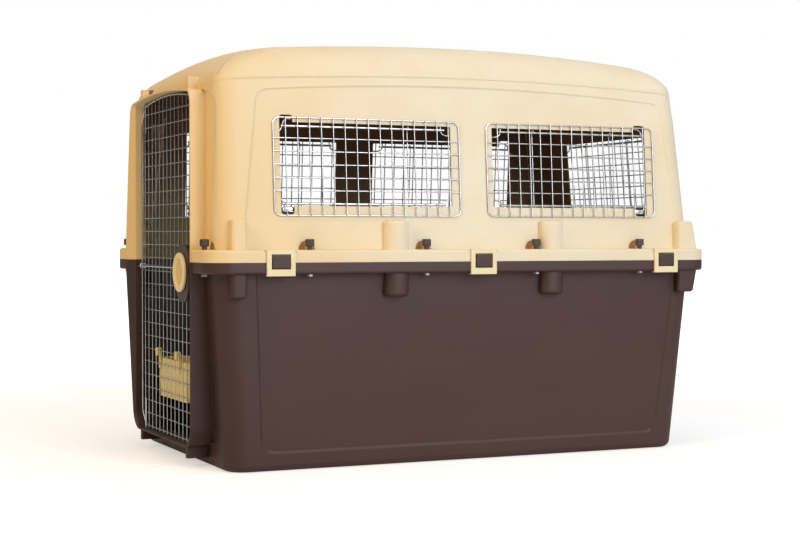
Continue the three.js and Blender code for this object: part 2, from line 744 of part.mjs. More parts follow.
function lowerShell() {
  const panel = panelOutline(lowerPanel, rimBottom, lowerPanel.floorGap);
  const innerPanel = panelOutline(lowerPanel, rimBottom, lowerPanel.floorGap, shellWall);
  const skin = withPanels(lowerForm(0, 0), lowerForm(panelDepth, 0), panel);
  const cavity = withPanels(
    lowerForm(shellWall, shellWall, seamHeight + overrun),
    lowerForm(shellWall + panelDepth, shellWall, seamHeight + overrun),
    innerPanel,
  );
  const draft = lowerDraftShares.side;
  const outline = collarOutline(collarSill, lowerCollar);
  const collar = doorwayLoft(outline, collarFrontAt(collarLeanShares.lower), outline, flareBackX);
  const pinHeights = [collarSill - lowerPinBlock.belowSill, collarSill + lowerPinBlock.aboveSill];
  const outside = join([
    skin,
    rimBand(rimBottom, seamHeight),
    pilasters(rimBottom, -lowerBlockHeight, draft, 0),
    cornerBlocks(rimBottom, -lowerBlockHeight, 0),
    collar,
    pinBlocks(lowerPinBlock.setback, pinHeights),
    ...onBothSides(clipLug),
  ]);
  const inside = join([
    cavity,
    pilasters(rimBottom, -lowerBlockHeight, draft, shellWall),
    cornerBlocks(rimBottom, -lowerBlockHeight, shellWall),
  ]);
  const half = boltTip.height / 2 + boreGap;
  const rodEnd = crossRodRestY + latchThrow + 2 * boreGap;
  const boltEnd = boltTipRestY - latchThrow - 2 * boreGap;
  const rodHoles = join([
    pin('y', crossRod.radius + boreGap, [hingeY, rodEnd], { x: latchX, z: knobHeight + pitchRadius }),
    block([latchX - half, latchX + half], [boltEnd, -hingeY], [boltTipZ - half, boltTipZ + half]),
  ]);
  return outside
    .subtract(inside)
    .subtract(doorwayCut(collarSill, lowerCollar, lowerDoorwayCorner, collarLeanShares.lower))
    .subtract(boltHoles)
    .subtract(rodHoles)
    .subtract(pinBores(hingePinFoot - runningGap, pinHeights[1] + pinBlockWidth));
}

// Rim bolts and nuts

function rimBolt({ x, y }) {
  const head = pin('z', boltHead.radius, [rimBottom - boltHead.height, rimBottom], { x, y }, 6);
  return head.add(pin('z', boltRadius, [rimBottom - overrun, boltTipHeight], { x, y }, boltSides));
}

function rimNut({ x, y }) {
  const outline = new THREE.Shape();
  for (let i = 0; i < 2 * nutFlutes; i += 1) {
    const angle = (i + 1 / 2) * Math.PI / nutFlutes;
    const radius = nutHead.radius - (i % 2) * nutFluteDepth;
    outline[i === 0 ? 'moveTo' : 'lineTo'](x + radius * Math.cos(angle), y + radius * Math.sin(angle));
  }
  const headGeometry = new THREE.ExtrudeGeometry(outline, { depth: nutHead.height, bevelEnabled: false });
  headGeometry.translate(0, 0, rimTop + nutNeck.height);
  const bore = pin('z', boreRadius, [rimTop - overrun, boltTipHeight + boreGap], { x, y }, boltSides);
  return solid(headGeometry)
    .add(pin('z', nutNeck.radius, [rimTop, rimTop + nutNeck.height + overrun], { x, y }, 6))
    .subtract(bore);
}

// Wire lattices

// A welded lattice as one closed body: each wire is a ridge over a flat back. The nodes
// are a grid of places in U and V with the half sizes of the wires that cross there.
function lattice(nodes, place) {
  const points = [];
  const firsts = nodes.map((line) => line.map(({ u, v, halfU, halfV, ridge }) => {
    const first = points.length;
    points.push(
      place(u - halfU, v - halfV, 0),
      place(u + halfU, v - halfV, 0),
      place(u + halfU, v + halfV, 0),
      place(u - halfU, v + halfV, 0),
      place(u, v, ridge),
    );
    return first;
  }));
  const corners = [];
  const quad = (a, b, c, d) => corners.push(a, b, c, a, c, d);
  firsts.forEach((line, i) => line.forEach((a, j) => {
    quad(a, a + 3, a + 2, a + 1);
    const right = firsts[i + 1]?.[j];
    if (right !== undefined) {
      quad(a + 1, a + 2, right + 3, right);
      quad(a + 1, right, right + 4, a + 4);
      quad(a + 4, right + 4, right + 3, a + 2);
    } else {
      corners.push(a + 1, a + 2, a + 4);
    }
    const above = line[j + 1];
    if (above !== undefined) {
      quad(a + 3, above, above + 1, a + 2);
      quad(a + 3, a + 4, above + 4, above);
      quad(a + 4, a + 2, above + 1, above + 4);
    } else {
      corners.push(a + 3, a + 4, a + 2);
    }
    if (i === 0) corners.push(a, a + 4, a + 3);
    if (j === 0) corners.push(a, a + 1, a + 4);
  }));
  return solidFromFaces(points.flat(), corners);
}

// One window grille in its own frame: X along the wall, Z up it, its back at -Y
function windowGrille(width) {
  const { columns, rows } = windowCells;
  const [halfWidth, halfHeight] = [width / 2, (windowHigh - windowLow) / 2];
  const nodes = Array.from({ length: columns + 1 }, (_, i) => Array.from({ length: rows + 1 }, (__, j) => {
    const endColumn = i === 0 || i === columns;
    const endRow = j === 0 || j === rows;
    const pull = endColumn && endRow ? windowFrameCorner : 0;
    const [su, sv] = [Math.sign(i - columns / 2), Math.sign(j - rows / 2)];
    const reach = { u: halfWidth - windowFrameWire / 2, v: halfHeight - windowFrameWire / 2 };
    return {
      u: reach.u * (2 * i / columns - 1) - su * pull,
      v: reach.v * (2 * j / rows - 1) - sv * pull,
      halfU: (endColumn ? windowFrameWire : windowWire) / 2,
      halfV: (endRow ? windowFrameWire : windowWire) / 2,
      ridge: endColumn || endRow ? windowFrameWire : windowWire,
    };
  }));
  return lattice(nodes, (u, v, ridge) => [u, -runningGap - ridge, v]);
}

// One retainer in the same frame: two rods inside the opening whose tails lie behind the
// wall past its ends, joined by two ties
function grilleRetainer(width) {
  const { radius, tail, bend } = retainerRod;
  const [low, high] = [openingLow + retainerRod.lowInset, openingHigh - retainerRod.highInset];
  const middle = (windowLow + windowHigh) / 2;
  const end = width / 2 - windowOpening.endInset;
  const behind = shellWall + runningGap + radius;
  const rods = [low, high].map((z) => {
    const right = [[end - bend, radius], [end - bend / 2, behind], [end + tail, behind]];
    const left = right.toReversed().map(([x, y]) => [-x, y]);
    return wire([...left, ...right].map(([x, y]) => [x, y, z - middle]), radius);
  });
  const ties = retainerTieShares.map((share) => {
    const x = 2 * end * (share - 1 / 2);
    return wire([[x, radius, low - middle], [x, radius, high - middle]], retainerTieRadius, 5);
  });
  return join([...rods, ...ties]);
}

// Door

function doorTopAt(y) {
  return doorTopMiddle - (doorTopMiddle - doorTopEdge) * (y / doorHalfWidth) ** 2;
}

// The mesh with its frame, arched at the top and cut across at its corners
function doorMesh() {
  const nodes = Array.from({ length: doorColumns + 1 }, (_, i) => {
    const y = doorHalfWidth * (2 * i / doorColumns - 1);
    const endColumn = i === 0 || i === doorColumns;
    return Array.from({ length: doorRows + 2 }, (__, j) => {
      const endRow = j === 0 || j === doorRows + 1;
      const height = j > doorRows ? doorTopAt(y) : doorSillHeight + j * doorRowPitch;
      const pull = endColumn && endRow ? doorCornerCut / 2 : 0;
      const lift = j === 0 ? pull : -pull;
      return {
        u: y - Math.sign(y) * pull,
        v: height + (j > doorRows ? lift / 2 : lift),
        halfU: (endColumn ? doorFrameWire : doorWire) / 2,
        halfV: (endRow ? doorFrameWire : doorWire) / 2,
        ridge: (endColumn || endRow ? doorFrameWire + doorWire : 2 * doorWire) / 2,
      };
    });
  });
  return lattice(nodes, (y, z, ridge) => [doorX + doorWire / 2 - ridge, y, z]);
}

// The hinge pins at one side and the short bars that mirror them at the other
function doorPins() {
  const top = doorTopAt(hingeY);
  const bars = [
    [[top - hingePinGrip, hingePinTop], hingeY],
    [[hingePinFoot, doorSillHeight + hingePinGrip], hingeY],
    [[top - hingePinGrip, top], -hingeY],
    [[doorSillHeight, doorSillHeight + hingePinGrip], -hingeY],
  ];
  return join(bars.map(([span, y]) => pin('z', hingePinRadius, span, { x: doorX, y }, 8)));
}

// A staple on the mesh that guides the far end of the cross rod
function crossRodStaple() {
  const reach = crossRod.radius + boreGap + rodStaple.radius;
  const height = knobHeight + pitchRadius;
  const nose = latchX - reach;
  const points = [
    [doorX, height - reach],
    [latchX - reach / 2, height - reach],
    [nose, height - reach / 2],
    [nose, height + reach / 2],
    [latchX - reach / 2, height + reach],
    [doorX, height + reach],
  ];
  const y = doorHalfWidth * (2 * rodStaple.column / doorColumns - 1);
  return wire(points.map(([x, z]) => [x, y, z]), rodStaple.radius, 5);
}

function doorGrille() {
  return join([doorMesh(), doorPins(), crossRodStaple()]);
}

// Latch. The knob turns a pinion between two racks, so the short bolt and the long rod
// leave the housing on opposite sides.

const circularPitch = Math.PI * pinion.module;
const toothHalf = circularPitch / 4 - pinionShares.backlash * pinion.module / 2;
const toothTip = pinion.module * pinionShares.tip;
const toothRoot = pinion.module * pinionShares.root;
const latchSpan = [latchX - pinion.thickness / 2, latchX + pinion.thickness / 2];
const plateFrontX = latchBackX - latchPlateThickness;

function latchPinion() {
  const outline = new THREE.Shape();
  for (let tooth = 0; tooth < pinion.teeth; tooth += 1) {
    const centre = (tooth / pinion.teeth) * 2 * Math.PI + Math.PI / 2;
    const flank = [
      [pitchRadius - toothRoot, toothHalf + toothRoot * toothTaperShare],
      [pitchRadius + toothTip - boreGap, toothHalf - toothTip * toothTaperShare],
    ];
    const sides = [[0, -1], [1, -1], [1, 1], [0, 1]];
    sides.forEach(([end, side], i) => {
      const [radius, half] = flank[end];
      const angle = centre + side * half / radius;
      const place = [knobY + radius * Math.cos(angle), knobHeight + radius * Math.sin(angle)];
      outline[tooth === 0 && i === 0 ? 'moveTo' : 'lineTo'](...place);
    });
  }
  const bore = pin('x', knobShaftRadius + boreGap, [latchSpan[0] - overrun, latchSpan[1] + overrun], {
    y: knobY,
    z: knobHeight,
  }, 4);
  return prismAlongX(outline, latchSpan).subtract(bore);
}

// A rack bar whose teeth point back at the pinion, on the side away from it in Z
function rack(y0, y1, away) {
  const pitchZ = knobHeight + away * pitchRadius;
  const rootZ = pitchZ + away * toothRoot;
  const tipZ = pitchZ - away * (toothTip - boreGap);
  const outline = new THREE.Shape();
  outline.moveTo(y1, rootZ);
  outline.lineTo(y1, rootZ + away * rackDepth);
  outline.lineTo(y0, rootZ + away * rackDepth);
  outline.lineTo(y0, rootZ);
  const first = Math.ceil((y0 + circularPitch / 2 - knobY) / circularPitch - 1 / 2);
  for (let i = first; knobY + (i + 1) * circularPitch < y1; i += 1) {
    const centre = knobY + (i + 1 / 2) * circularPitch;
    const rootHalf = toothHalf + toothRoot * toothTaperShare;
    const tipHalf = toothHalf - (toothTip - boreGap) * toothTaperShare;
    outline.lineTo(centre - rootHalf, rootZ);
    outline.lineTo(centre - tipHalf, tipZ);
    outline.lineTo(centre + tipHalf, tipZ);
    outline.lineTo(centre + rootHalf, rootZ);
  }
  return prismAlongX(outline, latchSpan);
}

function latchBolt() {
  const half = boltTip.height / 2;
  const backY = knobY - boltTip.back;
  return rack(backY - half, knobY + boltTip.rackEnd, -1).add(block(
    latchSpan,
    [boltTipRestY, backY],
    [boltTipZ - half, boltTipZ + half],
  ));
}

function crossRodBody() {
  const { radius, shoulder } = crossRod;
  const rackFarY = knobY + crossRod.rackFar;
  const height = knobHeight + pitchRadius;
  return join([
    rack(knobY - crossRod.rackNear, rackFarY, 1),
    block(latchSpan, [rackFarY - shoulder, rackFarY], [height - radius, height + toothRoot + rackDepth]),
    pin('y', radius, [rackFarY - shoulder / 2, crossRodRestY], { x: latchX, z: height }, 8),
  ]);
}

// The housing outline, rounded at its far side, made smaller by an inset
function housingOutline(inset) {
  const [y0, y1] = [knobY - housing.near + inset, knobY + housing.far - inset];
  const [z0, z1] = [knobHeight - housing.below + inset, knobHeight + housing.above - inset];
  const round = housing.corner - inset;
  const outline = new THREE.Shape();
  outline.moveTo(y0, z0);
  outline.lineTo(y1 - round, z0);
  outline.quadraticCurveTo(y1, z0, y1, z0 + round);
  outline.lineTo(y1, z1 - round);
  outline.quadraticCurveTo(y1, z1, y1 - round, z1);
  outline.lineTo(y0, z1);
  return outline;
}

function screwPins(radius, span) {
  return join(latchScrewHeights.map((z) => pin('x', radius, span, { y: latchScrewY, z }, 10)));
}

const screwBore = latchScrew.radius + boreGap;
const knobAxis = { y: knobY, z: knobHeight };

function latchBase() {
  return prismAlongX(housingOutline(0), [plateFrontX, latchBackX])
    .subtract(screwPins(screwBore, [plateFrontX - overrun, latchBackX + overrun]))
    .subtract(pin('x', knobShaftRadius + boreGap, [plateFrontX - overrun, latchBackX + overrun], knobAxis));
}

function latchCover() {
  const [nearY, farY] = [knobY - housing.near, knobY + housing.far];
  const frontX = housingFrontX;
  const roofX = latchSpan[0] - runningGap;
  const rodHeight = knobHeight + pitchRadius;
  const half = boltTip.height / 2 + boreGap;
  const shaft = [latchSpan[0] - boreGap, plateFrontX + overrun];
  return prismAlongX(housingOutline(0), [frontX, plateFrontX])
    .subtract(prismAlongX(housingOutline(housingWall), [roofX, plateFrontX + overrun]))
    .add(screwPins(screwBore + housingWall / 2, [frontX + housingWall, plateFrontX]))
    .subtract(screwPins(screwBore, [frontX - overrun, plateFrontX + overrun]))
    .subtract(screwPins(latchScrew.headRadius + boreGap, [frontX - overrun, frontX + latchScrew.headDepth]))
    .subtract(pin('x', knobShaftRadius + boreGap, [frontX - overrun, roofX + overrun], knobAxis))
    .subtract(block(
      shaft,
      [nearY - overrun, nearY + 2 * housingWall],
      [boltTipZ - half, boltTipZ + half],
    ))
    .subtract(block(
      shaft,
      [farY - 2 * housingWall, farY + overrun],
      [rodHeight - crossRod.radius - boreGap, rodHeight + crossRod.radius + boreGap],
    ));
}

// The two screws share their form and stand at different heights
function latchScrewBody(z) {
  const head = [housingFrontX, housingFrontX + latchScrew.headDepth - runningGap];
  const backX = doorX + doorWire / 2 + runningGap + clampPlate.thickness;
  return pin('x', latchScrew.headRadius, head, { y: latchScrewY, z }, 10)
    .add(pin('x', latchScrew.radius, [head[0] + runningGap, backX], { y: latchScrewY, z }, 8));
}

// The clamp plate behind the mesh that the screws draw the housing against
function latchClamp() {
  const x = doorX + doorWire / 2 + runningGap;
  const span = [x, x + clampPlate.thickness];
  const [low, high] = latchScrewHeights;
  const ends = [low - clampPlate.halfWidth, high + clampPlate.halfWidth];
  return block(span, [latchScrewY - clampPlate.halfWidth, latchScrewY + clampPlate.halfWidth], ends)
    .subtract(screwPins(screwBore, [span[0] - overrun, span[1] + overrun]));
}

// The knob: a disc hollowed on both sides of an upright grip, with a squared shaft
function latchKnob() {
  const { radius, thickness, gripWidth, recess, edge } = knob;
  const frontX = knobFrontX;
  const hollow = pin('x', radius - edge, [frontX - overrun, frontX + recess], knobAxis, 24);
  const grip = block(
    [frontX - 2 * overrun, frontX + recess + overrun],
    [knobY - gripWidth / 2, knobY + gripWidth / 2],
    [knobHeight - radius, knobHeight + radius],
  );
  return pin('x', radius, [frontX, frontX + thickness], knobAxis, 32)
    .subtract(hollow.subtract(grip))
    .add(pin('x', knobShaftRadius, [frontX + thickness - overrun, latchBackX - runningGap], knobAxis, 4));
}

// Bowl

function bowlRing(height, inset) {
  const rise = (height - bowl.low) / (bowl.high - bowl.low);
  const draft = bowl.draft * (1 - rise) + inset;
  const limits = {
    xMin: bowlFrontX + inset,
    xMax: bowlFrontX + bowl.depth - draft,
    yMin: draft - bowl.near,
    yMax: bowl.far - draft,
    radius: bowlCorner - inset,
  };
  return roundedRing(limits, () => height);
}

// A tray with leaning walls and two hooks over one wire of the door mesh
function doorBowl() {
  const wireZ = doorSillHeight + bowlHookRow * doorRowPitch;
  const { width, thickness, drop } = bowlHook;
  const seat = wireZ + doorWire / 2 + runningGap;
  const backX = doorX + doorWire / 2 + runningGap;
  const frontX = doorX - doorWire / 2 - runningGap;
  const tray = loft([bowlRing(bowl.low, 0), bowlRing(bowl.high, 0)])
    .subtract(loft([bowlRing(bowl.low + bowlWall, bowlWall), bowlRing(bowl.high + overrun, bowlWall)]));
  const hooks = bowlHook.cells.map((cell) => {
    const y = doorHalfWidth * (2 * (cell + 1 / 2) / doorColumns - 1);
    const span = [y - width / 2, y + width / 2];
    return join([
      block([backX, backX + thickness], span, [bowl.high - 2 * drop, seat + thickness]),
      block([bowlFrontX - overrun, bowlFrontX + bowlWall], span, [bowl.high - 2 * drop, bowl.high - drop]),
      block([frontX - thickness, backX + thickness], span, [seat, seat + thickness]),
      block([frontX - thickness, frontX], span, [wireZ - drop, seat + thickness]),
    ]);
  });
  return join([tray, ...hooks]);
}

// Assembly

const crate = new THREE.Group();
crate.position.x = -(collarFrontX + rimLength / 2) / 2;

crate.add(subpart('lower_shell', lowerShell(), 'brownPlastic'));
crate.add(subpart('upper_shell', upperShell(), 'creamPlastic'));

boltPlaces.forEach((place, i) => {
  crate.add(subpart(`rim_bolt_${i + 1}`, rimBolt(place), 'zincSteel'));
  crate.add(subpart(`rim_nut_${i + 1}`, rimNut(place), 'brownPlastic'));
});

clipXs.forEach((x, i) => {
  crate.add(subpart(`shell_clip_right_${i + 1}`, clipBody(x), 'creamPlastic'));
  crate.add(subpart(`shell_clip_left_${i + 1}`, clipBody(x).mirror([0, 1, 0]), 'creamPlastic'));
});

// Grilles and retainers hang on groups turned to each wall and leaned to its draft
function addWindow(name, turn, along, wallHalf, draft, recess, width) {
  const height = (windowLow + windowHigh) / 2;
  const wall = new THREE.Group();
  const lean = new THREE.Group();
  wall.rotation.z = turn;
  lean.position.set(along, -(wallHalf - draft * (height - seamHeight) - recess), height);
  lean.rotation.x = -Math.atan(draft);
  lean.add(subpart(`window_grille_${name}`, windowGrille(width), 'brightWire'));
  lean.add(subpart(`grille_retainer_${name}`, grilleRetainer(width), 'brightWire'));
  wall.add(lean);
  crate.add(wall);
}

const [frontWindowX, backWindowX] = windowXs;
const sideDraft = upperDraftShares.side;
addWindow('left_front', 0, frontWindowX, wallHalfWidth, sideDraft, panelDepth, sideWindowWidth);
addWindow('left_back', 0, backWindowX, wallHalfWidth, sideDraft, panelDepth, sideWindowWidth);
addWindow('right_front', Math.PI, -frontWindowX, wallHalfWidth, sideDraft, panelDepth, sideWindowWidth);
addWindow('right_back', Math.PI, -backWindowX, wallHalfWidth, sideDraft, panelDepth, sideWindowWidth);
addWindow('rear', Math.PI / 2, 0, wallHalfLength, upperDraftShares.rear, 0, rearWindowWidth);

crate.add(subpart('door_grille', doorGrille(), 'brightWire'));
crate.add(subpart('latch_base', latchBase(), 'brownPlastic'));
crate.add(subpart('latch_cover', latchCover(), 'brownPlastic'));
crate.add(subpart('latch_clamp', latchClamp(), 'zincSteel'));
crate.add(subpart('latch_screw_low', latchScrewBody(latchScrewHeights[0]), 'zincSteel'));
crate.add(subpart('latch_screw_high', latchScrewBody(latchScrewHeights[1]), 'zincSteel'));
crate.add(subpart('latch_knob', latchKnob(), 'creamPlastic'));
crate.add(subpart('latch_pinion', latchPinion(), 'brownPlastic'));
crate.add(subpart('latch_bolt', latchBolt(), 'zincSteel'));
crate.add(subpart('cross_rod', crossRodBody(), 'brightWire'));
crate.add(subpart('door_bowl', doorBowl(), 'creamPlastic'));

export default crate;
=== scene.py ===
"""An airline dog crate: two moulded shells bolted at their rims, side clips, wire
windows and a hinged wire door with a knob latch and a hanging bowl."""

import math

import bmesh
import bpy
from mathutils import Matrix, Vector


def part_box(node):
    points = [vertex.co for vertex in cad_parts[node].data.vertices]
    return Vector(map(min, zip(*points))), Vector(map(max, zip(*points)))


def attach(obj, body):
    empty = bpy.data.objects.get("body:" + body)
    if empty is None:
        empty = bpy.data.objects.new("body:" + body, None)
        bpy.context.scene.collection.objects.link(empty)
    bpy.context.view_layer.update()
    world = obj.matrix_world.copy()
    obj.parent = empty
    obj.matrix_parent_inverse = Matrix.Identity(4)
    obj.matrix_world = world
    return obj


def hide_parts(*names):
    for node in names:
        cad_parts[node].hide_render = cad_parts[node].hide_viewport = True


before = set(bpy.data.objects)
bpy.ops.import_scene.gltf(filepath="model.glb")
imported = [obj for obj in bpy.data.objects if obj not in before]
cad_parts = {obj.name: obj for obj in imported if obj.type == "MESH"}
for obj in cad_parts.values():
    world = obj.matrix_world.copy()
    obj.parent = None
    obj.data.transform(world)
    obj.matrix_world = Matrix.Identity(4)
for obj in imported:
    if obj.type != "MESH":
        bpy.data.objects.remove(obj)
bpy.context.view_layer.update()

# The two shells are drawn in millimetres about their own middle, then brought to metres
# and moved back by X_SHIFT. The walls lean in from the seam between them: a draft is
# that of the front, the rear and the sides.
X_SHIFT = 0.0015
RIM_X, RIM_Y, RIM_ROUND = 510, 320, 50
SEAM, RIM_TOP, RIM_FOOT = 368, 390, 348
WALL_X, WALL_Y, WALL_ROUND, SKIN = 488, 298, 40, 3.2
RIM_EDGE, PAST_SEAM = 4.5, 2
UPPER_DRAFT, LOWER_DRAFT = (0.022, 0.089, 0.069), (0.076, 0.072, 0.072)

# The roof: its highest point, how far it falls to both ends and sides, how far its round
# shoulders run in from the front, the rear and the sides, and the groove below them as
# drops and depths
SHOULDER, CREST, ROOF_TOP, ROOF_REACH, ROOF_HALF = 704, 15, 776, 430, 200
SHOULDER_FALL, FRONT_FALL, REAR_FALL, SIDE_FALL = 14, 18, 25, 10
FRONT_RUN, REAR_RUN, SIDE_RUN, FRONT_LEAN, FRONT_TAPER = 132, 38.5, 65.5, 10, 14
ROOF_LEDGE, GROOVE = 1.5, ((4.4, 0), (3.2, 1.2), (1.8, 1.2), (0, 0))

# The door collar and the doorway in it. A corner is the lean of its jambs, its height,
# its width and the bow of the crown or sill.
COLLAR_X, LAND_X, LAND_BACK_X, FLARE_X = -513, -501.5, -484, -440
COLLAR_HALF, COLLAR_CROWN, COLLAR_SILL, DOORWAY_HALF = 220, 683.5, 36, 184
UPPER_LEAN, LOWER_LEAN = 0.018, 0.026
UPPER_CORNER, LOWER_CORNER = (0.062, 35.5, 22, 9), (0.088, 40, 40, 0)

CLIP_XS = (-382, 10, 402)
POST_XS = (-153.5, 164)
POST_REACH, UPPER_POST, LOWER_POST = (24, 18), 53, -42
WINDOW_XS = (-203.35, 213.95)
PIN_X, PIN_Y = -490, 151.2
ROD_X, BOLT_Z, ROD_Z = -497.8, 341.5, 356.5
PIN_BORE, BOLT_BORE, ROD_BORE, LATCH_HOLE = 2.9, 3.4, 2.65, 3.4
OPENING_ZS, NOTCH_ZS, NOTCH = (467, 614), (452, 626.5), 25

# The wirework, in metres; a wire's size is its radius, and bays lie between two wires
DOOR_X, DOOR_HALF, DOOR_SILL = PIN_X / 1000 + X_SHIFT, 0.1764, 0.045
DOOR_TOP_MIDDLE, DOOR_TOP_EDGE, DOOR_CUT = 0.6765, 0.662, 0.025
DOOR_PITCH, DOOR_HIGH_BAYS, DOOR_BAYS = 0.0252, 25, 14
DOOR_WIRE, DOOR_EDGE_WIRE, DOOR_PIN = 0.00108, 0.0018, 0.0025
DOOR_UPRIGHT_WIRE = 0.84 * DOOR_WIRE
WINDOW_HALF_WIDTH, WINDOW_LOW, WINDOW_HIGH = 0.183, 0.4472, 0.6246
WINDOW_ROWS = (0.4936, 0.5163, 0.5395, 0.5628, 0.586)
WINDOW_BAYS = 16
WINDOW_WIRE, WINDOW_EDGE_WIRE = 0.00118, 0.00138
OPENING_HALF = 0.166
ROD_HEIGHTS = (0.4706, 0.6075)
STAPLE_WIRE = TIE_WIRE = 0.0011
HOOK_WIRE, ROD_WIRE = 0.0014, 0.0023

bolt_nodes = [f"rim_bolt_{i}" for i in range(1, 13)]
nut_nodes = [f"rim_nut_{i}" for i in range(1, 13)]


def middle(node):
    """The middle of a CAD node's box."""
    low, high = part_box(node)
    return (low + high) / 2


def in_scene(name, data):
    """A new object of the scene with this mesh, lamp or camera."""
    made = bpy.data.objects.new(name, data)
    bpy.context.scene.collection.objects.link(made)
    return made


class Shade:
    """A shader socket that takes part in plain arithmetic."""

    def __init__(self, tree, socket=None):
        self.tree = tree
        self.socket = socket

    def node(self, kind, settings=None, sockets=None, output=0):
        """One node: its settings first, then the values or links of its sockets."""
        made = self.tree.nodes.new(kind)
        for name, value in (settings or {}).items():
            setattr(made, name, value)
        for name, value in (sockets or {}).items():
            if isinstance(value, Shade):
                self.tree.links.new(value.socket, made.inputs[name])
            else:
                made.inputs[name].default_value = value
        return Shade(self.tree, made.outputs[output] if len(made.outputs) else None)

    def math(self, operation, *values):
        return self.node("ShaderNodeMath", {"operation": operation}, dict(enumerate(values)))

    def vector(self, operation, *values, output=0):
        settings = {"operation": operation}
        return self.node("ShaderNodeVectorMath", settings, dict(enumerate(values)), output)

    def __add__(self, other):
        return self.math("ADD", self, other)

    __radd__ = __add__

    def __sub__(self, other):
        return self.math("SUBTRACT", self, other)

    def __rsub__(self, other):
        return self.math("SUBTRACT", other, self)

    def __mul__(self, other):
        return self.math("MULTIPLY", self, other)

    __rmul__ = __mul__

    def between(self, low, high):
        """0 at low, 1 at high, smooth in between."""
        sockets = {"Value": self, "From Min": low, "From Max": high}
        return self.node("ShaderNodeMapRange", {"interpolation_type": "SMOOTHSTEP"}, sockets)

    def place(self, stretch=None):
        """The point on the piece, in the piece's own frame."""
        spot = self.node("ShaderNodeTexCoord", output=3)
        if stretch:
            return self.node("ShaderNodeMapping", {}, {"Vector": spot, "Scale": stretch})
        return spot

    def axis(self, number):
        return self.node("ShaderNodeSeparateXYZ", {}, {"Vector": self}, number)

    def distance(self, spot):
        """How far the surface is from a spot."""
        return self.vector("LENGTH", self.vector("SUBTRACT", self.place(), spot), output=1)

    def noise(self, scale, detail=2.0, roughness=0.5, stretch=None):
        sockets = {
            "Vector": self.place(stretch), "Scale": scale, "Detail": detail, "Roughness": roughness,
        }
        return self.node("ShaderNodeTexNoise", {}, sockets)

    def colour(self, factor, first, second):
        """The first colour where factor is 0 and the second where it is 1."""
        ends = [c if isinstance(c, Shade) else (*c, 1) for c in (first, second)]
        sockets = {0: factor, 6: ends[0], 7: ends[1]}
        return self.node("ShaderNodeMix", {"data_type": "RGBA"}, sockets, 2)

    def bump(self, height, distance, strength, normal=None):
        sockets = {"Height": height, "Distance": distance, "Strength": strength}
        if normal:
            sockets["Normal"] = normal
        return self.node("ShaderNodeBump", {}, sockets)


def linear(colour):
    """The linear colour of an 8-bit screen colour."""
    return tuple(((share / 255 + 0.055) / 1.055) ** 2.4 for share in colour)


finishes = {}


def new_finish(name):
    material = bpy.data.materials.new(name)
    material.use_nodes = True
    material.node_tree.nodes.clear()
    finishes[name] = material
    return Shade(material.node_tree)


def surface(shade, sockets):
    """The principled surface with these sockets, joined to the material's output."""
    made = shade.node("ShaderNodeBsdfPrincipled", {}, sockets)
    shade.node("ShaderNodeOutputMaterial", {}, {"Surface": made})


def moulded_plastic(name, face, worn, dusty, grain_scale, roughness, edge_radius,
                    cabin_shade_colours=None, painted_shades=(), sheen=0.42):
    """Satin moulded plastic: fine grain, soft edges, faint flow marks, rubbed corners.

    All colours are 8-bit screen colours. The painted cabin shade has a lower and an upper colour. A
    painted shade is a spot, the distances from it between which it fades, and its colour.
    """
    shade = new_finish(name)
    face, worn, dusty = map(linear, (face, worn, dusty))
    edge = shade.node("ShaderNodeBevel", {"samples": 6}, {"Radius": edge_radius})
    flat = shade.node("ShaderNodeNewGeometry", output=1)
    turned = shade.vector("DOT_PRODUCT", edge, flat, output=1)
    rubbed = (1 - turned.between(0.8, 0.99)) * shade.noise(55, 4).between(0.42, 0.62)
    flow = shade.noise(2.2, 3, 0.6, (1, 1, 2.5)).between(0.35, 0.68)
    cloud = shade.noise(14, 3, 0.65).between(0.4, 0.75)
    body = shade.colour(flow * 0.35, face, dusty)
    body = shade.colour(cloud * 0.18, body, dusty)
    body = shade.colour(rubbed * 0.3, body, worn)
    # Painted shade, and painted warm shade, fading out from each spot
    for spot, fade, tone in painted_shades:
        body = shade.colour(1 - shade.distance(spot).between(*fade), body, linear(tone))
    # Painted shade on the walls facing the cabin, darker towards the top
    if cabin_shade_colours:
        height = shade.place().axis(2)
        cabin_shade_tone = shade.colour(height.between(0.4, 0.62), *map(linear, cabin_shade_colours))
        body = shade.colour(cabin_shade_mask(shade), body, cabin_shade_tone)
    grain = shade.noise(grain_scale, 3, 0.6)
    scuffs = shade.noise(320, 2, 0.6, (1, 1, 0.08)).between(0.66, 0.78)
    height = grain * 0.75 + shade.noise(grain_scale / 6, 2) * 0.5 - scuffs * 0.35
    surface(shade, {
        "Base Color": body,
        "Roughness": roughness + cloud * 0.07 + grain * 0.08 - rubbed * 0.08 + scuffs * 0.04,
        "Normal": shade.bump(height, 0.00015, 0.5, edge),
        "IOR": 1.49,
        "Specular IOR Level": sheen,
    })


def cabin_shade_mask(shade):
    """1 on the walls of the shells that face the cabin, where shade is painted into the colour."""
    spot = shade.place()
    facing = shade.node("ShaderNodeNewGeometry", output=1)
    from_middle = shade.vector("SUBTRACT", spot, (0, 0, 0.37))
    inward = 1 - shade.vector("DOT_PRODUCT", facing, from_middle, output=1).between(-0.03, 0.005)
    x, y, z = (spot.axis(number) for number in range(3))
    rise = shade.math("ABSOLUTE", z - SEAM / 1000)
    depth = (WALL_Y / 1000 - rise * 0.0705) - shade.math("ABSOLUTE", y)
    behind_door = x.between(-0.485, -0.482)
    return inward * depth.between(0.0027, 0.003) * behind_door


def bright_wire():
    """Bright plated wire: drawn lines, dull patches and a trace of tarnish."""
    shade = new_finish("bright_wire")
    patch = shade.noise(60, 4, 0.7).between(0.45, 0.7)
    drawn = shade.noise(1800, 2, 0.6)
    surface(shade, {
        "Base Color": shade.colour(patch * 0.6, (0.6, 0.6, 0.6), (0.4, 0.4, 0.4)),
        "Metallic": 1.0,
        "Roughness": 0.12 + patch * 0.08 + drawn * 0.04,
        "Normal": shade.bump(patch, 0.00002, 0.3),
    })


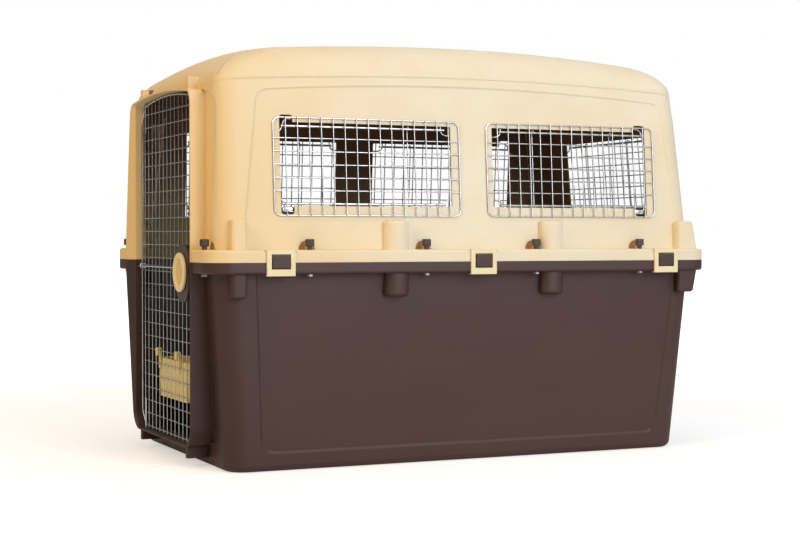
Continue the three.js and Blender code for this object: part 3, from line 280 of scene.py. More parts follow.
def zinc_steel():
    """Zinc plated steel with a faint spangle."""
    shade = new_finish("zinc_steel")
    spangle = shade.node("ShaderNodeTexVoronoi", {}, {"Vector": shade.place(), "Scale": 380}, 1)
    grey = shade.node("ShaderNodeRGBToBW", {}, {"Color": spangle})
    cloud = shade.noise(45, 3).between(0.4, 0.7)
    body = shade.colour(grey * 0.5, (0.34, 0.34, 0.36), (0.46, 0.46, 0.45))
    surface(shade, {
        "Base Color": shade.colour(cloud * 0.3, body, (0.28, 0.27, 0.25)),
        "Metallic": 1.0,
        "Roughness": 0.36 + grey * 0.12 + cloud * 0.1,
        "Normal": shade.bump(grey, 0.00004, 0.5),
    })


# Painted shade in the plastic's colour. Each is a spot, the distances between which it fades, and
# its colour:
# painted warm shade on the cream front, painted shade on the brown front, and painted shade in the
# finger hollows behind the nuts, in the knob's dish and on the bowl
FRONT_PAINTED_WARM_SHADE = ((-0.75, 0, 0.42), (0.15, 0.8), (236, 204, 142))
FRONT_PAINTED_SHADE = ((-0.75, 0, 0.2), (0.2, 0.6), (50, 25, 22))
HOLLOWS_PAINTED_SHADE = [
    ((spot.x, math.copysign(0.2815, spot.y), 0.392), (0.0164, 0.0168), (226, 174, 110))
    for spot in map(middle, nut_nodes) if abs(spot.y) > 0.28
]
DISH_PAINTED_SHADE = (tuple(middle("latch_knob")), (0.0251, 0.0256), (222, 200, 144))
BOWL_PAINTED_SHADE = (tuple(middle("door_bowl")), (0.11, 0.125), (228, 214, 148))

moulded_plastic(
    "cream_shell", (239, 230, 205), (250, 241, 216), (230, 206, 160),
    grain_scale=900, roughness=0.45, edge_radius=0.0022,
    # Painted shade on the walls facing the cabin, lower then upper colour
    cabin_shade_colours=((150, 136, 84), (128, 92, 58)),
    painted_shades=[FRONT_PAINTED_WARM_SHADE, *HOLLOWS_PAINTED_SHADE],
)
moulded_plastic(
    "brown_shell", (61, 33, 29), (100, 74, 68), (76, 49, 45),
    grain_scale=900, roughness=0.46, edge_radius=0.0022,
    # Painted shade on the walls facing the cabin and on the front
    cabin_shade_colours=((40, 26, 24), (38, 24, 23)), painted_shades=[FRONT_PAINTED_SHADE], sheen=0.58,
)
moulded_plastic(
    "cream_fittings", (241, 231, 188), (250, 242, 215), (230, 214, 168),
    grain_scale=1500, roughness=0.36, edge_radius=0.0009, painted_shades=[DISH_PAINTED_SHADE, BOWL_PAINTED_SHADE],
)
moulded_plastic(
    "brown_fittings", (58, 36, 33), (100, 78, 74), (74, 52, 48),
    grain_scale=1500, roughness=0.38, edge_radius=0.0007, sheen=0.8,
)
bright_wire()
zinc_steel()


def cleaned_copy(node):
    """A CAD node's solid as a new mesh, with its doubled corners merged."""
    made = bmesh.new()
    made.from_mesh(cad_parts[node].data)
    bmesh.ops.remove_doubles(made, verts=made.verts, dist=2e-6)
    bmesh.ops.dissolve_degenerate(made, edges=made.edges, dist=1e-5)
    return made


def as_mesh(name, made):
    mesh = bpy.data.meshes.new(name)
    made.to_mesh(mesh)
    made.free()
    return mesh


def dressed(name, mesh, slot, body, *nodes):
    """The mesh as an object in its slot's finish, riding on a body in the nodes' stead."""
    mesh.name = name
    mesh.materials.clear()
    mesh.materials.append(finishes[slot])
    piece = in_scene(name, mesh)
    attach(piece, body)
    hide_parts(*nodes)
    return piece


def smoothed(piece, angle):
    """Shading that is smooth over gentle turns and crisp over sharp ones."""
    mesh = piece.data
    mesh.shade_smooth()
    mesh.set_sharp_from_angle(angle=math.radians(angle))
    weighted = piece.modifiers.new("even_faces", "WEIGHTED_NORMAL")
    weighted.keep_sharp = True
    return piece


def applied(piece):
    """The piece with its modifiers made part of its mesh."""
    graph = bpy.context.evaluated_depsgraph_get()
    mesh = bpy.data.meshes.new_from_object(piece.evaluated_get(graph), depsgraph=graph)
    old = piece.data
    piece.modifiers.clear()
    piece.data = mesh
    bpy.data.meshes.remove(old)
    return piece


def joined(meshes):
    """Several meshes as one bmesh."""
    made = bmesh.new()
    for mesh in meshes:
        made.from_mesh(mesh)
        bpy.data.meshes.remove(mesh)
    return made


class PieceTree:
    """A Geometry Nodes tree with named inputs, which turns bare corners and edges into pieces."""

    def __init__(self, name, inputs, output):
        self.tree = bpy.data.node_groups.new(name, "GeometryNodeTree")
        self.keys = {}
        for label, kind in inputs.items():
            socket = self.tree.interface.new_socket(
                label, in_out="INPUT", socket_type="NodeSocket" + kind
            )
            self.keys[label] = socket.identifier
        self.tree.interface.new_socket(output, in_out="OUTPUT", socket_type="NodeSocketGeometry")
        self.start = self.tree.nodes.new("NodeGroupInput")
        self.end = self.tree.nodes.new("NodeGroupOutput")

    def nodes(self, *kinds):
        return [self.tree.nodes.new("GeometryNode" + kind) for kind in kinds]

    def link(self, *ends):
        """Links, each given as a node, its output, the next node and its input."""
        for source, output, target, entry in ends:
            self.tree.links.new(source.outputs[output], target.inputs[entry])

    def close(self, last, output):
        """The tree's end: real geometry in the slot's finish."""
        whole, coat = self.nodes("RealizeInstances", "SetMaterial")
        self.link(
            (last, output, whole, "Geometry"), (whole, "Geometry", coat, "Geometry"),
            (self.start, "Finish", coat, "Material"), (coat, "Geometry", self.end, 0),
        )

    def grown(self, corners, edges, values):
        """The mesh that the tree makes of these corners and edges."""
        mesh = bpy.data.meshes.new(self.tree.name)
        mesh.from_pydata(corners, edges, [])
        piece = in_scene(self.tree.name, mesh)
        growth = piece.modifiers.new(self.tree.name, "NODES")
        growth.node_group = self.tree
        for label, value in values.items():
            growth[self.keys[label]] = value
        made = applied(piece).data
        bpy.data.objects.remove(piece)
        return made


def drawn_wire():
    """Wire along every line of a mesh: its bends are rounded and its ends are closed."""
    made = PieceTree("drawn_wire", {
        "Lines": "Geometry", "Wire radius": "Float", "Bend radius": "Float",
        "Sides": "Int", "Finish": "Material",
    }, "Wire")
    lines, rounded, circle, tube, smooth = made.nodes(
        "MeshToCurve", "FilletCurve", "CurvePrimitiveCircle", "CurveToMesh", "SetShadeSmooth"
    )
    rounded.mode = "POLY"
    rounded.inputs["Count"].default_value = 5
    rounded.inputs["Limit Radius"].default_value = True
    tube.inputs["Fill Caps"].default_value = True
    made.link(
        (made.start, "Lines", lines, "Mesh"), (lines, "Curve", rounded, "Curve"),
        (made.start, "Bend radius", rounded, "Radius"),
        (made.start, "Sides", circle, "Resolution"),
        (made.start, "Wire radius", circle, "Radius"),
        (rounded, "Curve", tube, "Curve"), (circle, "Curve", tube, "Profile Curve"),
        (tube, "Mesh", smooth, "Geometry"),
    )
    made.close(smooth, "Geometry")
    return made


def part_at_each_place():
    """One part set down at every corner of a mesh."""
    made = PieceTree("part_at_each_place", {
        "Places": "Geometry", "Part": "Object", "Finish": "Material",
    }, "Parts")
    shape, points, spread = made.nodes("ObjectInfo", "MeshToPoints", "InstanceOnPoints")
    made.link(
        (made.start, "Places", points, "Mesh"), (made.start, "Part", shape, "Object"),
        (points, "Points", spread, "Points"), (shape, "Geometry", spread, "Instance"),
    )
    made.close(spread, "Instances")
    return made


wire_tree, repeat_tree = drawn_wire(), part_at_each_place()


def wires(paths, radius, bend=0.0, sides=10, closed=False):
    """One mesh of bright round wires along these paths."""
    corners, edges = [], []
    for path in paths:
        first = len(corners)
        corners += [tuple(point) for point in path]
        edges += [(first + i, first + i + 1) for i in range(len(path) - 1)]
        if closed:
            edges.append((first + len(path) - 1, first))
    return wire_tree.grown(corners, edges, {
        "Wire radius": radius, "Bend radius": bend, "Sides": sides,
        "Finish": finishes["bright_wire"],
    })


def repeated(part, places, slot):
    """A mesh of the part at each place; the part itself is used up."""
    pattern = in_scene("pattern", part)
    made = repeat_tree.grown(places, [], {"Part": pattern, "Finish": finishes[slot]})
    bpy.data.objects.remove(pattern)
    bpy.data.meshes.remove(part)
    return made


def stations(count):
    """The angles of evenly spaced points round a turn."""
    return [2 * math.pi * i / count for i in range(count)]


def skinned(rings, peak=None):
    """A closed bmesh through rings of as many points; a peak closes the last one."""
    made = bmesh.new()
    rows = [[made.verts.new(point) for point in points] for points in rings]
    count = len(rows[0])
    for low, high in zip(rows, rows[1:]):
        for i in range(count):
            j = (i + 1) % count
            made.faces.new((low[i], low[j], high[j], high[i]))
    made.faces.new(list(reversed(rows[0])))
    if peak:
        top = made.verts.new(peak)
        for i in range(count):
            made.faces.new((rows[-1][i], rows[-1][(i + 1) % count], top))
    else:
        made.faces.new(rows[-1])
    bmesh.ops.recalc_face_normals(made, faces=made.faces)
    return made


def lathe(profile, sides, radius_at=lambda angle, radius: radius):
    """A closed turned shape on Z; its radius may change round the turn."""
    rings = []
    for radius, height in profile:
        reaches = ((a, radius_at(a, radius)) for a in stations(sides))
        rings.append([(reach * math.cos(a), reach * math.sin(a), height) for a, reach in reaches])
    return skinned(rings)


bolt_places = [(*middle(node).xy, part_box(node)[0].z) for node in bolt_nodes]
bolt_spots = [((x - X_SHIFT) * 1000, y * 1000) for x, y, _ in bolt_places]
rim_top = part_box("rim_nut_1")[0].z
bolt_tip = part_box("rim_bolt_1")[1].z - bolt_places[0][2]


class Form:
    """A closed solid: + joins two, - cuts one from another, & keeps what they share."""

    def __init__(self, mesh):
        self.mesh = mesh

    def _with(self, other, operation):
        base = in_scene("form", self.mesh.copy())
        tool = in_scene("tool", other.mesh)
        change = base.modifiers.new("carve", "BOOLEAN")
        change.solver = "MANIFOLD"
        change.operation = operation
        change.object = tool
        made = Form(applied(base).data)
        bpy.data.objects.remove(base)
        bpy.data.objects.remove(tool)
        return made

    def __add__(self, other):
        return self._with(other, "UNION")

    def __sub__(self, other):
        return self._with(other, "DIFFERENCE")

    def __and__(self, other):
        return self._with(other, "INTERSECT")

    def moved(self, matrix):
        mesh = self.mesh.copy()
        mesh.transform(matrix)
        if matrix.determinant() < 0:
            mesh.flip_normals()
        return Form(mesh)


def union(forms):
    whole = forms[0]
    for form in forms[1:]:
        whole = whole + form
    return whole


def ring(x0, x1, y0, y1, radius, height, corner_steps=12, side_steps=(12, 8), front_radius=None):
    """A rounded rectangle of points; the height is a number or a rule of x and y."""
    front = front_radius or radius
    centres = ((x1 - radius, y0 + radius, radius), (x1 - radius, y1 - radius, radius),
               (x0 + front, y1 - front, front), (x0 + front, y0 + front, front))
    arcs = []
    for corner, (cx, cy, bend) in enumerate(centres):
        angles = [(corner - 1 + i / corner_steps) * math.pi / 2 for i in range(corner_steps + 1)]
        arcs.append([(cx + bend * math.cos(a), cy + bend * math.sin(a)) for a in angles])
    points = []
    for corner, arc in enumerate(arcs):
        (ax, ay), (bx, by) = arc[-1], arcs[(corner + 1) % 4][0]
        count = side_steps[(corner + 1) % 2]
        steps = (i / count for i in range(1, count))
        points += arc + [(ax + (bx - ax) * t, ay + (by - ay) * t) for t in steps]
    rule = height if callable(height) else (lambda x, y: height)
    return [(x, y, rule(x, y)) for x, y in points]


def loft(rings, peak=None):
    return Form(as_mesh("form", skinned(rings, peak)))


def quarter(steps):
    """The sine and cosine of the steps of a quarter turn."""
    angles = (step / steps * math.pi / 2 for step in range(steps + 1))
    return [(math.sin(angle), math.cos(angle)) for angle in angles]


def soft_end(start, length, inset, soft):
    """The heights and insets up a post from its start to its rounded end."""
    way = math.copysign(1, length)
    end = start + length - way * inset
    return [(start, inset)] + [
        (end - way * soft * (1 - sine), inset + soft * (1 - cosine)) for sine, cosine in quarter(5)
    ]


def soft_slab(x0, x1, y0, y1, radius, low, high, low_round=0.0, high_round=0.0):
    """A slab with rounded corners whose lower and upper edges may be rounded too."""
    rings = []

    def level(inset, z):
        limits = x0 + inset, x1 - inset, y0 + inset, y1 - inset
        rings.append(ring(*limits, max(radius - inset, 0.2), z))

    if low_round:
        for sine, cosine in quarter(4):
            level(low_round * (1 - sine), low + low_round * (1 - cosine))
    else:
        level(0, low)
    if high_round:
        for sine, cosine in quarter(4):
            level(high_round * (1 - cosine), high - high_round * (1 - sine))
    else:
        level(0, high)
    return loft(rings)


def slab(xs, ys, zs, radius=0.2):
    return soft_slab(*sorted(xs), *sorted(ys), radius, *sorted(zs))


def rod(axis, radius, span, centre, sides=32):
    """A round bar along an axis between two stations."""
    rings = []
    for place in span:
        points = []
        for a in stations(sides):
            point = [centre[0] + radius * math.cos(a), centre[1] + radius * math.sin(a)]
            point.insert("xyz".index(axis), place)
            points.append(point)
        rings.append(points)
    return loft(rings)


def soft_prism(x0, x1, z0, z1, radius, ys):
    """A rounded rectangle in X and Z drawn along Y."""
    outline = [(x, z) for x, z, _ in ring(x0, x1, z0, z1, radius, 0, 6, (1, 1))]
    return loft([[(x, y, z) for x, z in outline] for y in ys])


def walls(draft, height, inset):
    """The limits of the walls in X and Y at a height, so far inside their faces."""
    rise = abs(height - SEAM)
    front, rear, side = draft
    return (
        -(WALL_X - front * rise - inset), WALL_X - rear * rise - inset,
        -(WALL_Y - side * rise - inset), WALL_Y - side * rise - inset,
    )


def shoulder_at(x):
    return SHOULDER - SHOULDER_FALL * ((x - CREST) / ROOF_REACH) ** 2


def roof_at(x, y):
    fall = FRONT_FALL if x < CREST else REAR_FALL
    return ROOF_TOP - fall * ((x - CREST) / ROOF_REACH) ** 2 - SIDE_FALL * (y / ROOF_HALF) ** 2


def upper_form(inset):
    """The upper shell's solid: leaning walls, a shoulder groove and a crowned roof."""
    radius, foot = WALL_ROUND - inset, SEAM - (PAST_SEAM if inset else 0)
    rings = [ring(*walls(UPPER_DRAFT, z, inset), radius, z) for z in (foot, 640)]
    x0, x1, y0, y1 = walls(UPPER_DRAFT, SHOULDER, inset)
    for drop, cut in GROOVE:
        rings.append(ring(
            x0, x1, y0 + cut, y1 - cut, radius - cut, lambda x, y: shoulder_at(x) - inset - drop,
        ))
    for rise, cosine in quarter(12):
        inward = 1 - cosine
        side_in, rear_in = ROOF_LEDGE + SIDE_RUN * inward, REAR_RUN * inward
        front_in = FRONT_RUN * inward + FRONT_LEAN * rise
        rings.append(ring(
            x0 + front_in, x1 - rear_in, y0 + side_in, y1 - side_in,
            radius + rear_in - ROOF_LEDGE,
            lambda x, y: shoulder_at(x) * (1 - rise) + roof_at(x, y) * rise - inset,
            front_radius=radius - ROOF_LEDGE - FRONT_TAPER * inward,
        ))
    edge = rings[-1]
    for share in (0.86, 0.72, 0.58, 0.44, 0.3, 0.15):
        spots = [(CREST + (x - CREST) * share, y * share) for x, y, _ in edge]
        rings.append([(x, y, roof_at(x, y) - inset) for x, y in spots])
    return loft(rings, (CREST, 0, ROOF_TOP - inset))


def lower_form(inset):
    """The lower shell's solid, with a round edge below; its floor is as thick as its walls."""
    radius, head = 12 - inset, SEAM + (PAST_SEAM if inset else 0)
    rings = []
    for sine, cosine in quarter(6):
        height, extra = inset + radius * (1 - cosine), radius * (1 - sine)
        limits = walls(LOWER_DRAFT, height, inset + extra)
        rings.append(ring(*limits, WALL_ROUND - inset - extra, height))
    rings.append(ring(*walls(LOWER_DRAFT, head, inset), WALL_ROUND - inset, head))
    return loft(rings)


def curve(start, control, end, steps):
    """Points of a quadratic curve after its start."""
    points = []
    for i in range(1, steps + 1):
        t = i / steps
        points.append(tuple(
            a * (1 - t) ** 2 + 2 * b * t * (1 - t) + c * t ** 2
            for a, b, c in zip(start, control, end)
        ))
    return points


def panel_outline(margins, start, far, bow, margin):
    """A side panel in X and Z: from the rim out to a bowed edge with curved corners."""
    front_low, front_high, rear_low, rear_high = margins
    way = math.copysign(1, far - start)
    turn, end, reach = 30, far + way * margin, WALL_X + margin
    x0, x1 = front_high - reach, reach - rear_high
    first, last = (x0 + turn, end), (x1 - turn, end)
    points = [(front_low - reach, start), (x0, end - way * turn)]
    points += curve(points[-1], (x0, end), first, 10)
    points += curve(first, ((x0 + x1) / 2, end + 2 * bow), last, 24)
    points += curve(last, (x1, end), (x1, end - way * turn), 10)
    return points + [(reach - rear_low, start)]


def panel_trays(margins, start, far, bow, draft, inset):
    """What sinks a panel into both side walls; its edges slope."""
    trays = []
    for side in (-1, 1):
        rings = []
        for depth, spread in ((2.5, 0), (-3, 7.2)):
            rings.append([
                (x, side * (WALL_Y - draft * abs(z - SEAM) - inset - depth), z)
                for x, z in panel_outline(margins, start, far, bow, inset + spread)
            ])
        trays.append(loft(rings))
    return union(trays)


def front_tray(half_outline, draft, inset, depth):
    """What sinks the front wall round the door collar, from half of its outline."""
    outline = half_outline + [(-y, z) for y, z in reversed(half_outline)]
    rings = []
    for deep, spread in ((depth, 0), (-3, 1.5)):
        margin = inset + spread
        points = []
        for y, z in outline:
            height = z + math.copysign(margin, z - SEAM) * (abs(z - SEAM) > 1)
            x = draft * abs(height - SEAM) + inset + deep - WALL_X
            points.append((x, math.copysign(abs(y) + margin, y), height))
        rings.append(points)
    return loft(rings)


def side_posts(start, length, side_draft, inset):
    """Half-round posts beside the rim on both long walls, with soft ends."""
    (half, deep), posts = POST_REACH, []
    for x in POST_XS:
        for side in (-1, 1):
            wall_y = side * (WALL_Y - side_draft * abs(start - SEAM))
            posts.append(loft([
                [(x + (half - shrink) * math.cos(a), wall_y + (deep - shrink) * math.sin(a), z)
                 for a in stations(48)]
                for z, shrink in soft_end(start, length, inset, 7)
            ]))
    return union(posts)


def corner_blocks(start, length, inset):
    """Blocks on the side walls by the four corners, leaning in and rounded at their ends."""
    blocks = []
    for sx, outer, lean in ((-1, 468, 0.03), (1, 482, 0.17)):
        for sy in (-1, 1):
            rings = []
            for z, shrink in soft_end(start, length, inset, 5):
                rise = abs(z - start)
                xs = sorted((sx * (438 + shrink), sx * (outer - lean * rise - shrink)))
                ys = sorted((sy * 262, sy * (313 - 0.04 * rise - shrink)))
                rings.append(ring(*xs, *ys, 8 - 0.6 * shrink, z, 6, (1, 1)))
            blocks.append(loft(rings))
    return union(blocks)


def doorway_ring(half, end, corner, inset=0, back_off=0):
    """Half an arch mirrored across Y, from the seam to a crown or a sill."""
    lean, height, width, bow = corner
    way = math.copysign(1, end - SEAM)
    tip = end - way * inset
    corner_z = tip - way * height
    jamb = half - inset
    right = [(jamb, SEAM - way * back_off)]
    for sine, cosine in quarter(10):
        right.append((
            jamb - lean * abs(corner_z - SEAM) - width * (1 - cosine),
            corner_z + way * (height - bow) * sine,
        ))
    reach = right[-1][0]
    for i in range(1, 9):
        y = reach * (1 - i / 8)
        right.append((y, tip - way * bow * (y / reach) ** 2))
    return right + [(-y, z) for y, z in reversed(right[:-1])]


def between_rings(front, front_x, back, back_x, lean=0):
    """The solid between two outlines in Y and Z; the front one leans back from the seam."""
    return loft([
        [(front_x + lean * abs(z - SEAM), y, z) for y, z in front],
        [(back_x, y, z) for y, z in back],
    ])


def collar(end, corner, lean):
    outline = doorway_ring(COLLAR_HALF, end, corner)
    return between_rings(outline, COLLAR_X, outline, FLARE_X, lean)


def doorway_cut(end, corner, inner_corner, lean):
    """The doorway: a funnel down to a flat land, a throat through it and a flare behind."""
    way = math.copysign(1, end - SEAM)
    inner_end = end - way * SKIN
    land = doorway_ring(DOORWAY_HALF, inner_end, (0, *inner_corner), 0, 2)
    leg = doorway_ring(DOORWAY_HALF, inner_end, (0, *inner_corner), -SKIN, 2)
    lip = doorway_ring(COLLAR_HALF, end, corner, SKIN, 2)
    funnel = between_rings(lip, COLLAR_X - 0.3, land, LAND_X, lean)
    throat = between_rings(land, LAND_X - 0.3, land, LAND_BACK_X + 0.3)
    flare = between_rings(lip, LAND_BACK_X, lip, FLARE_X)
    hollow = between_rings(lip, LAND_X + 5.5, lip, LAND_BACK_X + 0.3)
    hollow = hollow - between_rings(leg, LAND_X + 3.5, leg, LAND_BACK_X + 2)
    hollow = hollow & slab((COLLAR_X, FLARE_X), (-RIM_Y, RIM_Y), (100, 640))
    return union([funnel, throat, flare, hollow])


def pin_blocks(front_x, low, high):
    return [slab((front_x, -462), (y - 7, y + 7), (low, high), 1.5) for y in (-PIN_Y, PIN_Y)]


def pin_bores(low, high):
    return union([rod("z", PIN_BORE, (low, high), (PIN_X, y)) for y in (-PIN_Y, PIN_Y)])


def clip_slots():
    """Grooves in the rim's edge that hold the clips' pins."""
    slots = []
    y, z, reach, half = 318.2, 387, 3.3, 26.3
    for x in CLIP_XS:
        xs, pin_xs = (x - half, x + half), (x - half - 3, x + half + 3)
        slot = union([
            rod("x", reach, xs, (y, z)), slab(xs, (y - reach, 322), (z, 392)),
            slab(xs, (y, 322), (z - reach, 392)), rod("x", 1.9, pin_xs, (y, z)),
        ])
        slots += [slot, slot.moved(Matrix.Scale(-1, 4, (0, 1, 0)))]
    return union(slots)


def lugs():
    """Tongues that stand up through the clips' windows, ribbed on their faces."""
    made = []
    for x in CLIP_XS:
        xs = (x - 16, x + 16)
        for side in (-1, 1):
            made.append(slab(xs, (side * 318, side * 325.3), (358, SEAM), 0.8))
            made.append(slab(xs, (side * 320.3, side * 325.3), (366, 381), 0.8))
            for rib in (x - 10, x - 5, x, x + 5, x + 10):
                ys = (side * 325, side * 325.5)
                made.append(slab((rib - 1.1, rib + 1.1), ys, (361, 378)))
    return made


def window_cut(centre, ys):
    """A window opening with a notch at its outer end, where the retainer hooks in."""
    half, outer = 1000 * OPENING_HALF, math.copysign(1, centre or 1)
    end = centre + outer * half
    opening = soft_prism(centre - half, centre + half, *OPENING_ZS, 2, ys)
    return opening + soft_prism(*sorted((end, end - outer * NOTCH)), *NOTCH_ZS, 5, ys)


def nut_pockets(margin):
    """Half-round hollows in the walls that leave room for fingers on the nuts."""
    pockets = []
    reach, low = 15.5 + margin, RIM_TOP + 0.4 - margin
    for x, y in bolt_spots:
        heights = (low, low + reach)
        if abs(y) > 300:
            ys = sorted(math.copysign(at, y) for at in (287.6 - margin, WALL_Y + 8))
            hollow, room = rod("y", reach, ys, (x, RIM_TOP)), ((x - reach, x + reach), ys)
        else:
            xs = sorted(math.copysign(at, x) for at in (477.6 - margin, WALL_X + 4))
            hollow, room = rod("x", reach, xs, (y, RIM_TOP)), (xs, (y - reach, y + reach))
        pockets.append(hollow & slab(*room, heights))
    return union(pockets)


def corner_crease(side):
    """The short groove that runs up the roof from a front corner and fades."""
    path = [(-473.6, 250.1, 693.1, 0.5), (-469.6, 247.3, 699.6, 1.4), (-463.4, 244.1, 706.6, 1.8),
            (-455.5, 234.8, 714.4, 1.9), (-446.4, 225.7, 721.4, 1.8), (-437.6, 220.2, 727, 1.2),
            (-428.6, 216.7, 731.6, 0.5)]
    spots = [Vector((x, side * y, z)) for x, y, z, _ in path]
    rings = []
    for i, spot in enumerate(spots):
        way = spots[min(i + 1, len(path) - 1)] - spots[max(i - 1, 0)]
        thick, turn = path[i][3], way.to_track_quat("Z", "Y")
        rings.append([
            spot + turn @ Vector((thick * math.cos(a), thick * math.sin(a), 0))
            for a in stations(10)
        ])
    return loft(rings)


def bolt_bores():
    heights = (RIM_FOOT - 2, RIM_TOP + 2)
    return union([rod("z", BOLT_BORE, heights, spot, 16) for spot in bolt_spots])


def rim_band(low, high, rounds):
    return soft_slab(-RIM_X, RIM_X, -RIM_Y, RIM_Y, RIM_ROUND, low, high, *rounds)


def hollow_shell(form, draft, rim, post, panel, tray, doorway, raised, kept=None):
    """A shell before its bores: its skin with all that stands out of it, round a cavity.

    The doorway is its end, its corners in the collar and in the land, and the collar's lean.
    """
    front, _, side = draft
    outline, depth = tray
    end, corner, _, lean = doorway
    skin, cavity = (
        form(inset) - panel_trays(*panel, side, inset) - front_tray(outline, front, inset, depth)
        for inset in (0, SKIN)
    )
    band, *blocks = raised
    outside = union([
        skin, band, side_posts(rim, post, side, 0), corner_blocks(rim, post, 0),
        collar(end, corner, lean), *blocks,
    ])
    inside = union([cavity, side_posts(rim, post, side, SKIN), corner_blocks(rim, post, SKIN)])
    if kept:
        inside = inside - kept
    return outside - inside - doorway_cut(*doorway)


def carved(made, cuts):
    for cut in cuts:
        made = made - cut
    return made


def upper_solid():
    arch = [(258, SEAM), (258, 640), (255, 648), (248, 655), (235, 661), (215, 667), (190, 673)]
    made = hollow_shell(
        upper_form, UPPER_DRAFT, RIM_TOP, UPPER_POST, ((47, 76, 39, 71), RIM_TOP, 670, 15),
        (arch, 4.2), (COLLAR_CROWN, UPPER_CORNER, (28, 12, 9), UPPER_LEAN),
        [rim_band(SEAM, RIM_TOP, (0, RIM_EDGE)), *pin_blocks(-498, 672, 699)],
        kept=nut_pockets(SKIN),
    )
    rear_window = window_cut(0, (244, 512)).moved(Matrix.Rotation(-math.pi / 2, 4, "Z"))
    return carved(made, [
        *(window_cut(x, (-322, 322)) for x in WINDOW_XS), rear_window, bolt_bores(),
        clip_slots(), pin_bores(658, 690.3), nut_pockets(0), corner_crease(-1), corner_crease(1),
    ])


def lower_solid():
    foot = [(222, SEAM), (219, 66), (216, 56), (209, 50), (196, 47)]
    made = hollow_shell(
        lower_form, LOWER_DRAFT, RIM_FOOT, LOWER_POST, ((72, 88, 51, 78), RIM_FOOT, 35, 0),
        (foot, 3), (COLLAR_SILL, LOWER_CORNER, (36, 36, 0), LOWER_LEAN),
        [rim_band(RIM_FOOT, SEAM, (RIM_EDGE, 0)), *pin_blocks(-500, 16, 37), *lugs()],
    )
    latch_holes = rod("y", ROD_BORE, (PIN_Y, 190.6), (ROD_X, ROD_Z)) + slab(
        (ROD_X - LATCH_HOLE, ROD_X + LATCH_HOLE), (-194.1, -PIN_Y),
        (BOLT_Z - LATCH_HOLE, BOLT_Z + LATCH_HOLE),
    )
    return carved(made, [bolt_bores(), latch_holes, pin_bores(23.7, 51)])


def shell(name, node, slot, form):
    """A finished shell in metres in the crate's place."""
    mesh = form.mesh
    mesh.transform(Matrix.Translation((X_SHIFT, 0, 0)) @ Matrix.Scale(0.001, 4))
    applied(smoothed(dressed(name, mesh, slot, "crate", node), 30))


shell("base_moulding", "lower_shell", "brown_shell", lower_solid())
shell("top_moulding", "upper_shell", "cream_shell", upper_solid())


def softened(name, node, slot, body, width, within=None):
    """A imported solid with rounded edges."""
    made = cleaned_copy(node)
    if within:
        bmesh.ops.recalc_face_normals(made, faces=made.faces)
        kept = Form(as_mesh("form", made)) & within
        made = joined([kept.mesh])
    bmesh.ops.dissolve_limit(
        made, angle_limit=math.radians(1), verts=made.verts, edges=made.edges, delimit=set()
    )
    piece = dressed(name, as_mesh(name, made), slot, body, node)
    bevel = piece.modifiers.new("rounded_edges", "BEVEL")
    bevel.width = width
    bevel.segments = 2
    bevel.limit_method = "ANGLE"
    bevel.angle_limit = math.radians(40)
    bevel.harden_normals = False
    applied(smoothed(piece, 38))


for clip in (f"{side}_{place}" for side in ("left", "right") for place in (1, 2, 3)):
    softened(
        f"clip_{clip}_moulding", f"shell_clip_{clip}", "cream_fittings", f"clip_{clip}", 0.0008
    )
low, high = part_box("latch_cover")
round_sides = ring(low.y, high.y, low.z, high.z, 0.03, 0, 12, (1, 1))
round_latch = loft([[(x, y, z) for y, z, _ in round_sides] for x in (-0.52, -0.48)])
for name, node, slot, body, width, within in (
    ("bowl_moulding", "door_bowl", "cream_fittings", "bowl", 0.0009, None),
    ("housing_moulding", "latch_cover", "brown_fittings", "door", 0.0016, round_latch),
    ("housing_back", "latch_base", "brown_fittings", "door", 0.0004, round_latch),
    ("pinion_moulding", "latch_pinion", "brown_fittings", "knob", 0.0002, None),
    ("clamp_plate", "latch_clamp", "zinc_steel", "door", 0.0003, None),
    ("bolt_steel", "latch_bolt", "zinc_steel", "bolt", 0.0003, None),
    ("rod_steel", "cross_rod", "bright_wire", "rod", 0.0002, None),
    ("housing_screw_low", "latch_screw_low", "brown_fittings", "door", 0.0003, None),
    ("housing_screw_high", "latch_screw_high", "brown_fittings", "door", 0.0003, None),
):
    softened(name, node, slot, body, width, within)

# The knob: a dished disc with a raised rim and a low grip
knob_low, knob_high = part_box("latch_knob")
disc = knob_high.x - knob_low.x
knob = lathe([
    (0.0034, 0), (0.0034, disc - 0.0073), (0.031, disc - 0.0072), (0.0348, disc - 0.0062),
    (0.0355, disc - 0.0048), (0.0355, disc - 0.003), (0.0349, disc - 0.0017),
    (0.0335, disc - 0.0009), (0.0282, disc), (0.0268, disc - 0.0002), (0.0259, disc - 0.0011),
    (0.0253, disc - 0.0045), (0.024, disc - 0.0057), (0.0004, disc - 0.0062),
], 96)
grip = bmesh.ops.create_cube(knob, size=1)["verts"]
bmesh.ops.scale(knob, vec=(0.043, 0.011, 0.0028), verts=grip)
bmesh.ops.translate(knob, vec=(0, 0, disc - 0.0062), verts=grip)
grip_edges = {edge for corner in grip for edge in corner.link_edges}
bmesh.ops.bevel(
    knob, geom=list(grip_edges), offset=0.0009, segments=3, profile=0.5, affect="EDGES"
)
centre = middle("latch_knob")
knob.transform(
    Matrix.Translation((knob_high.x, centre.y, centre.z)) @ Matrix.Rotation(-math.pi / 2, 4, "Y")
)
knob_mesh = as_mesh("knob_moulding", knob)
knob_piece = dressed("knob_moulding", knob_mesh, "cream_fittings", "knob", "latch_knob")
applied(smoothed(knob_piece, 40))

# Fluted nuts and hexagon bolts round the rim


def fluted(angle, radius):
    if radius < 0.0055:
        return radius
    return radius - 0.0009 * (0.5 - 0.5 * math.cos(8 * angle)) ** 2


def six_sided(angle, radius):
    if radius < 0.0035:
        return radius
    return radius * math.cos(math.pi / 6) / math.cos((angle % (math.pi / 3)) - math.pi / 6)


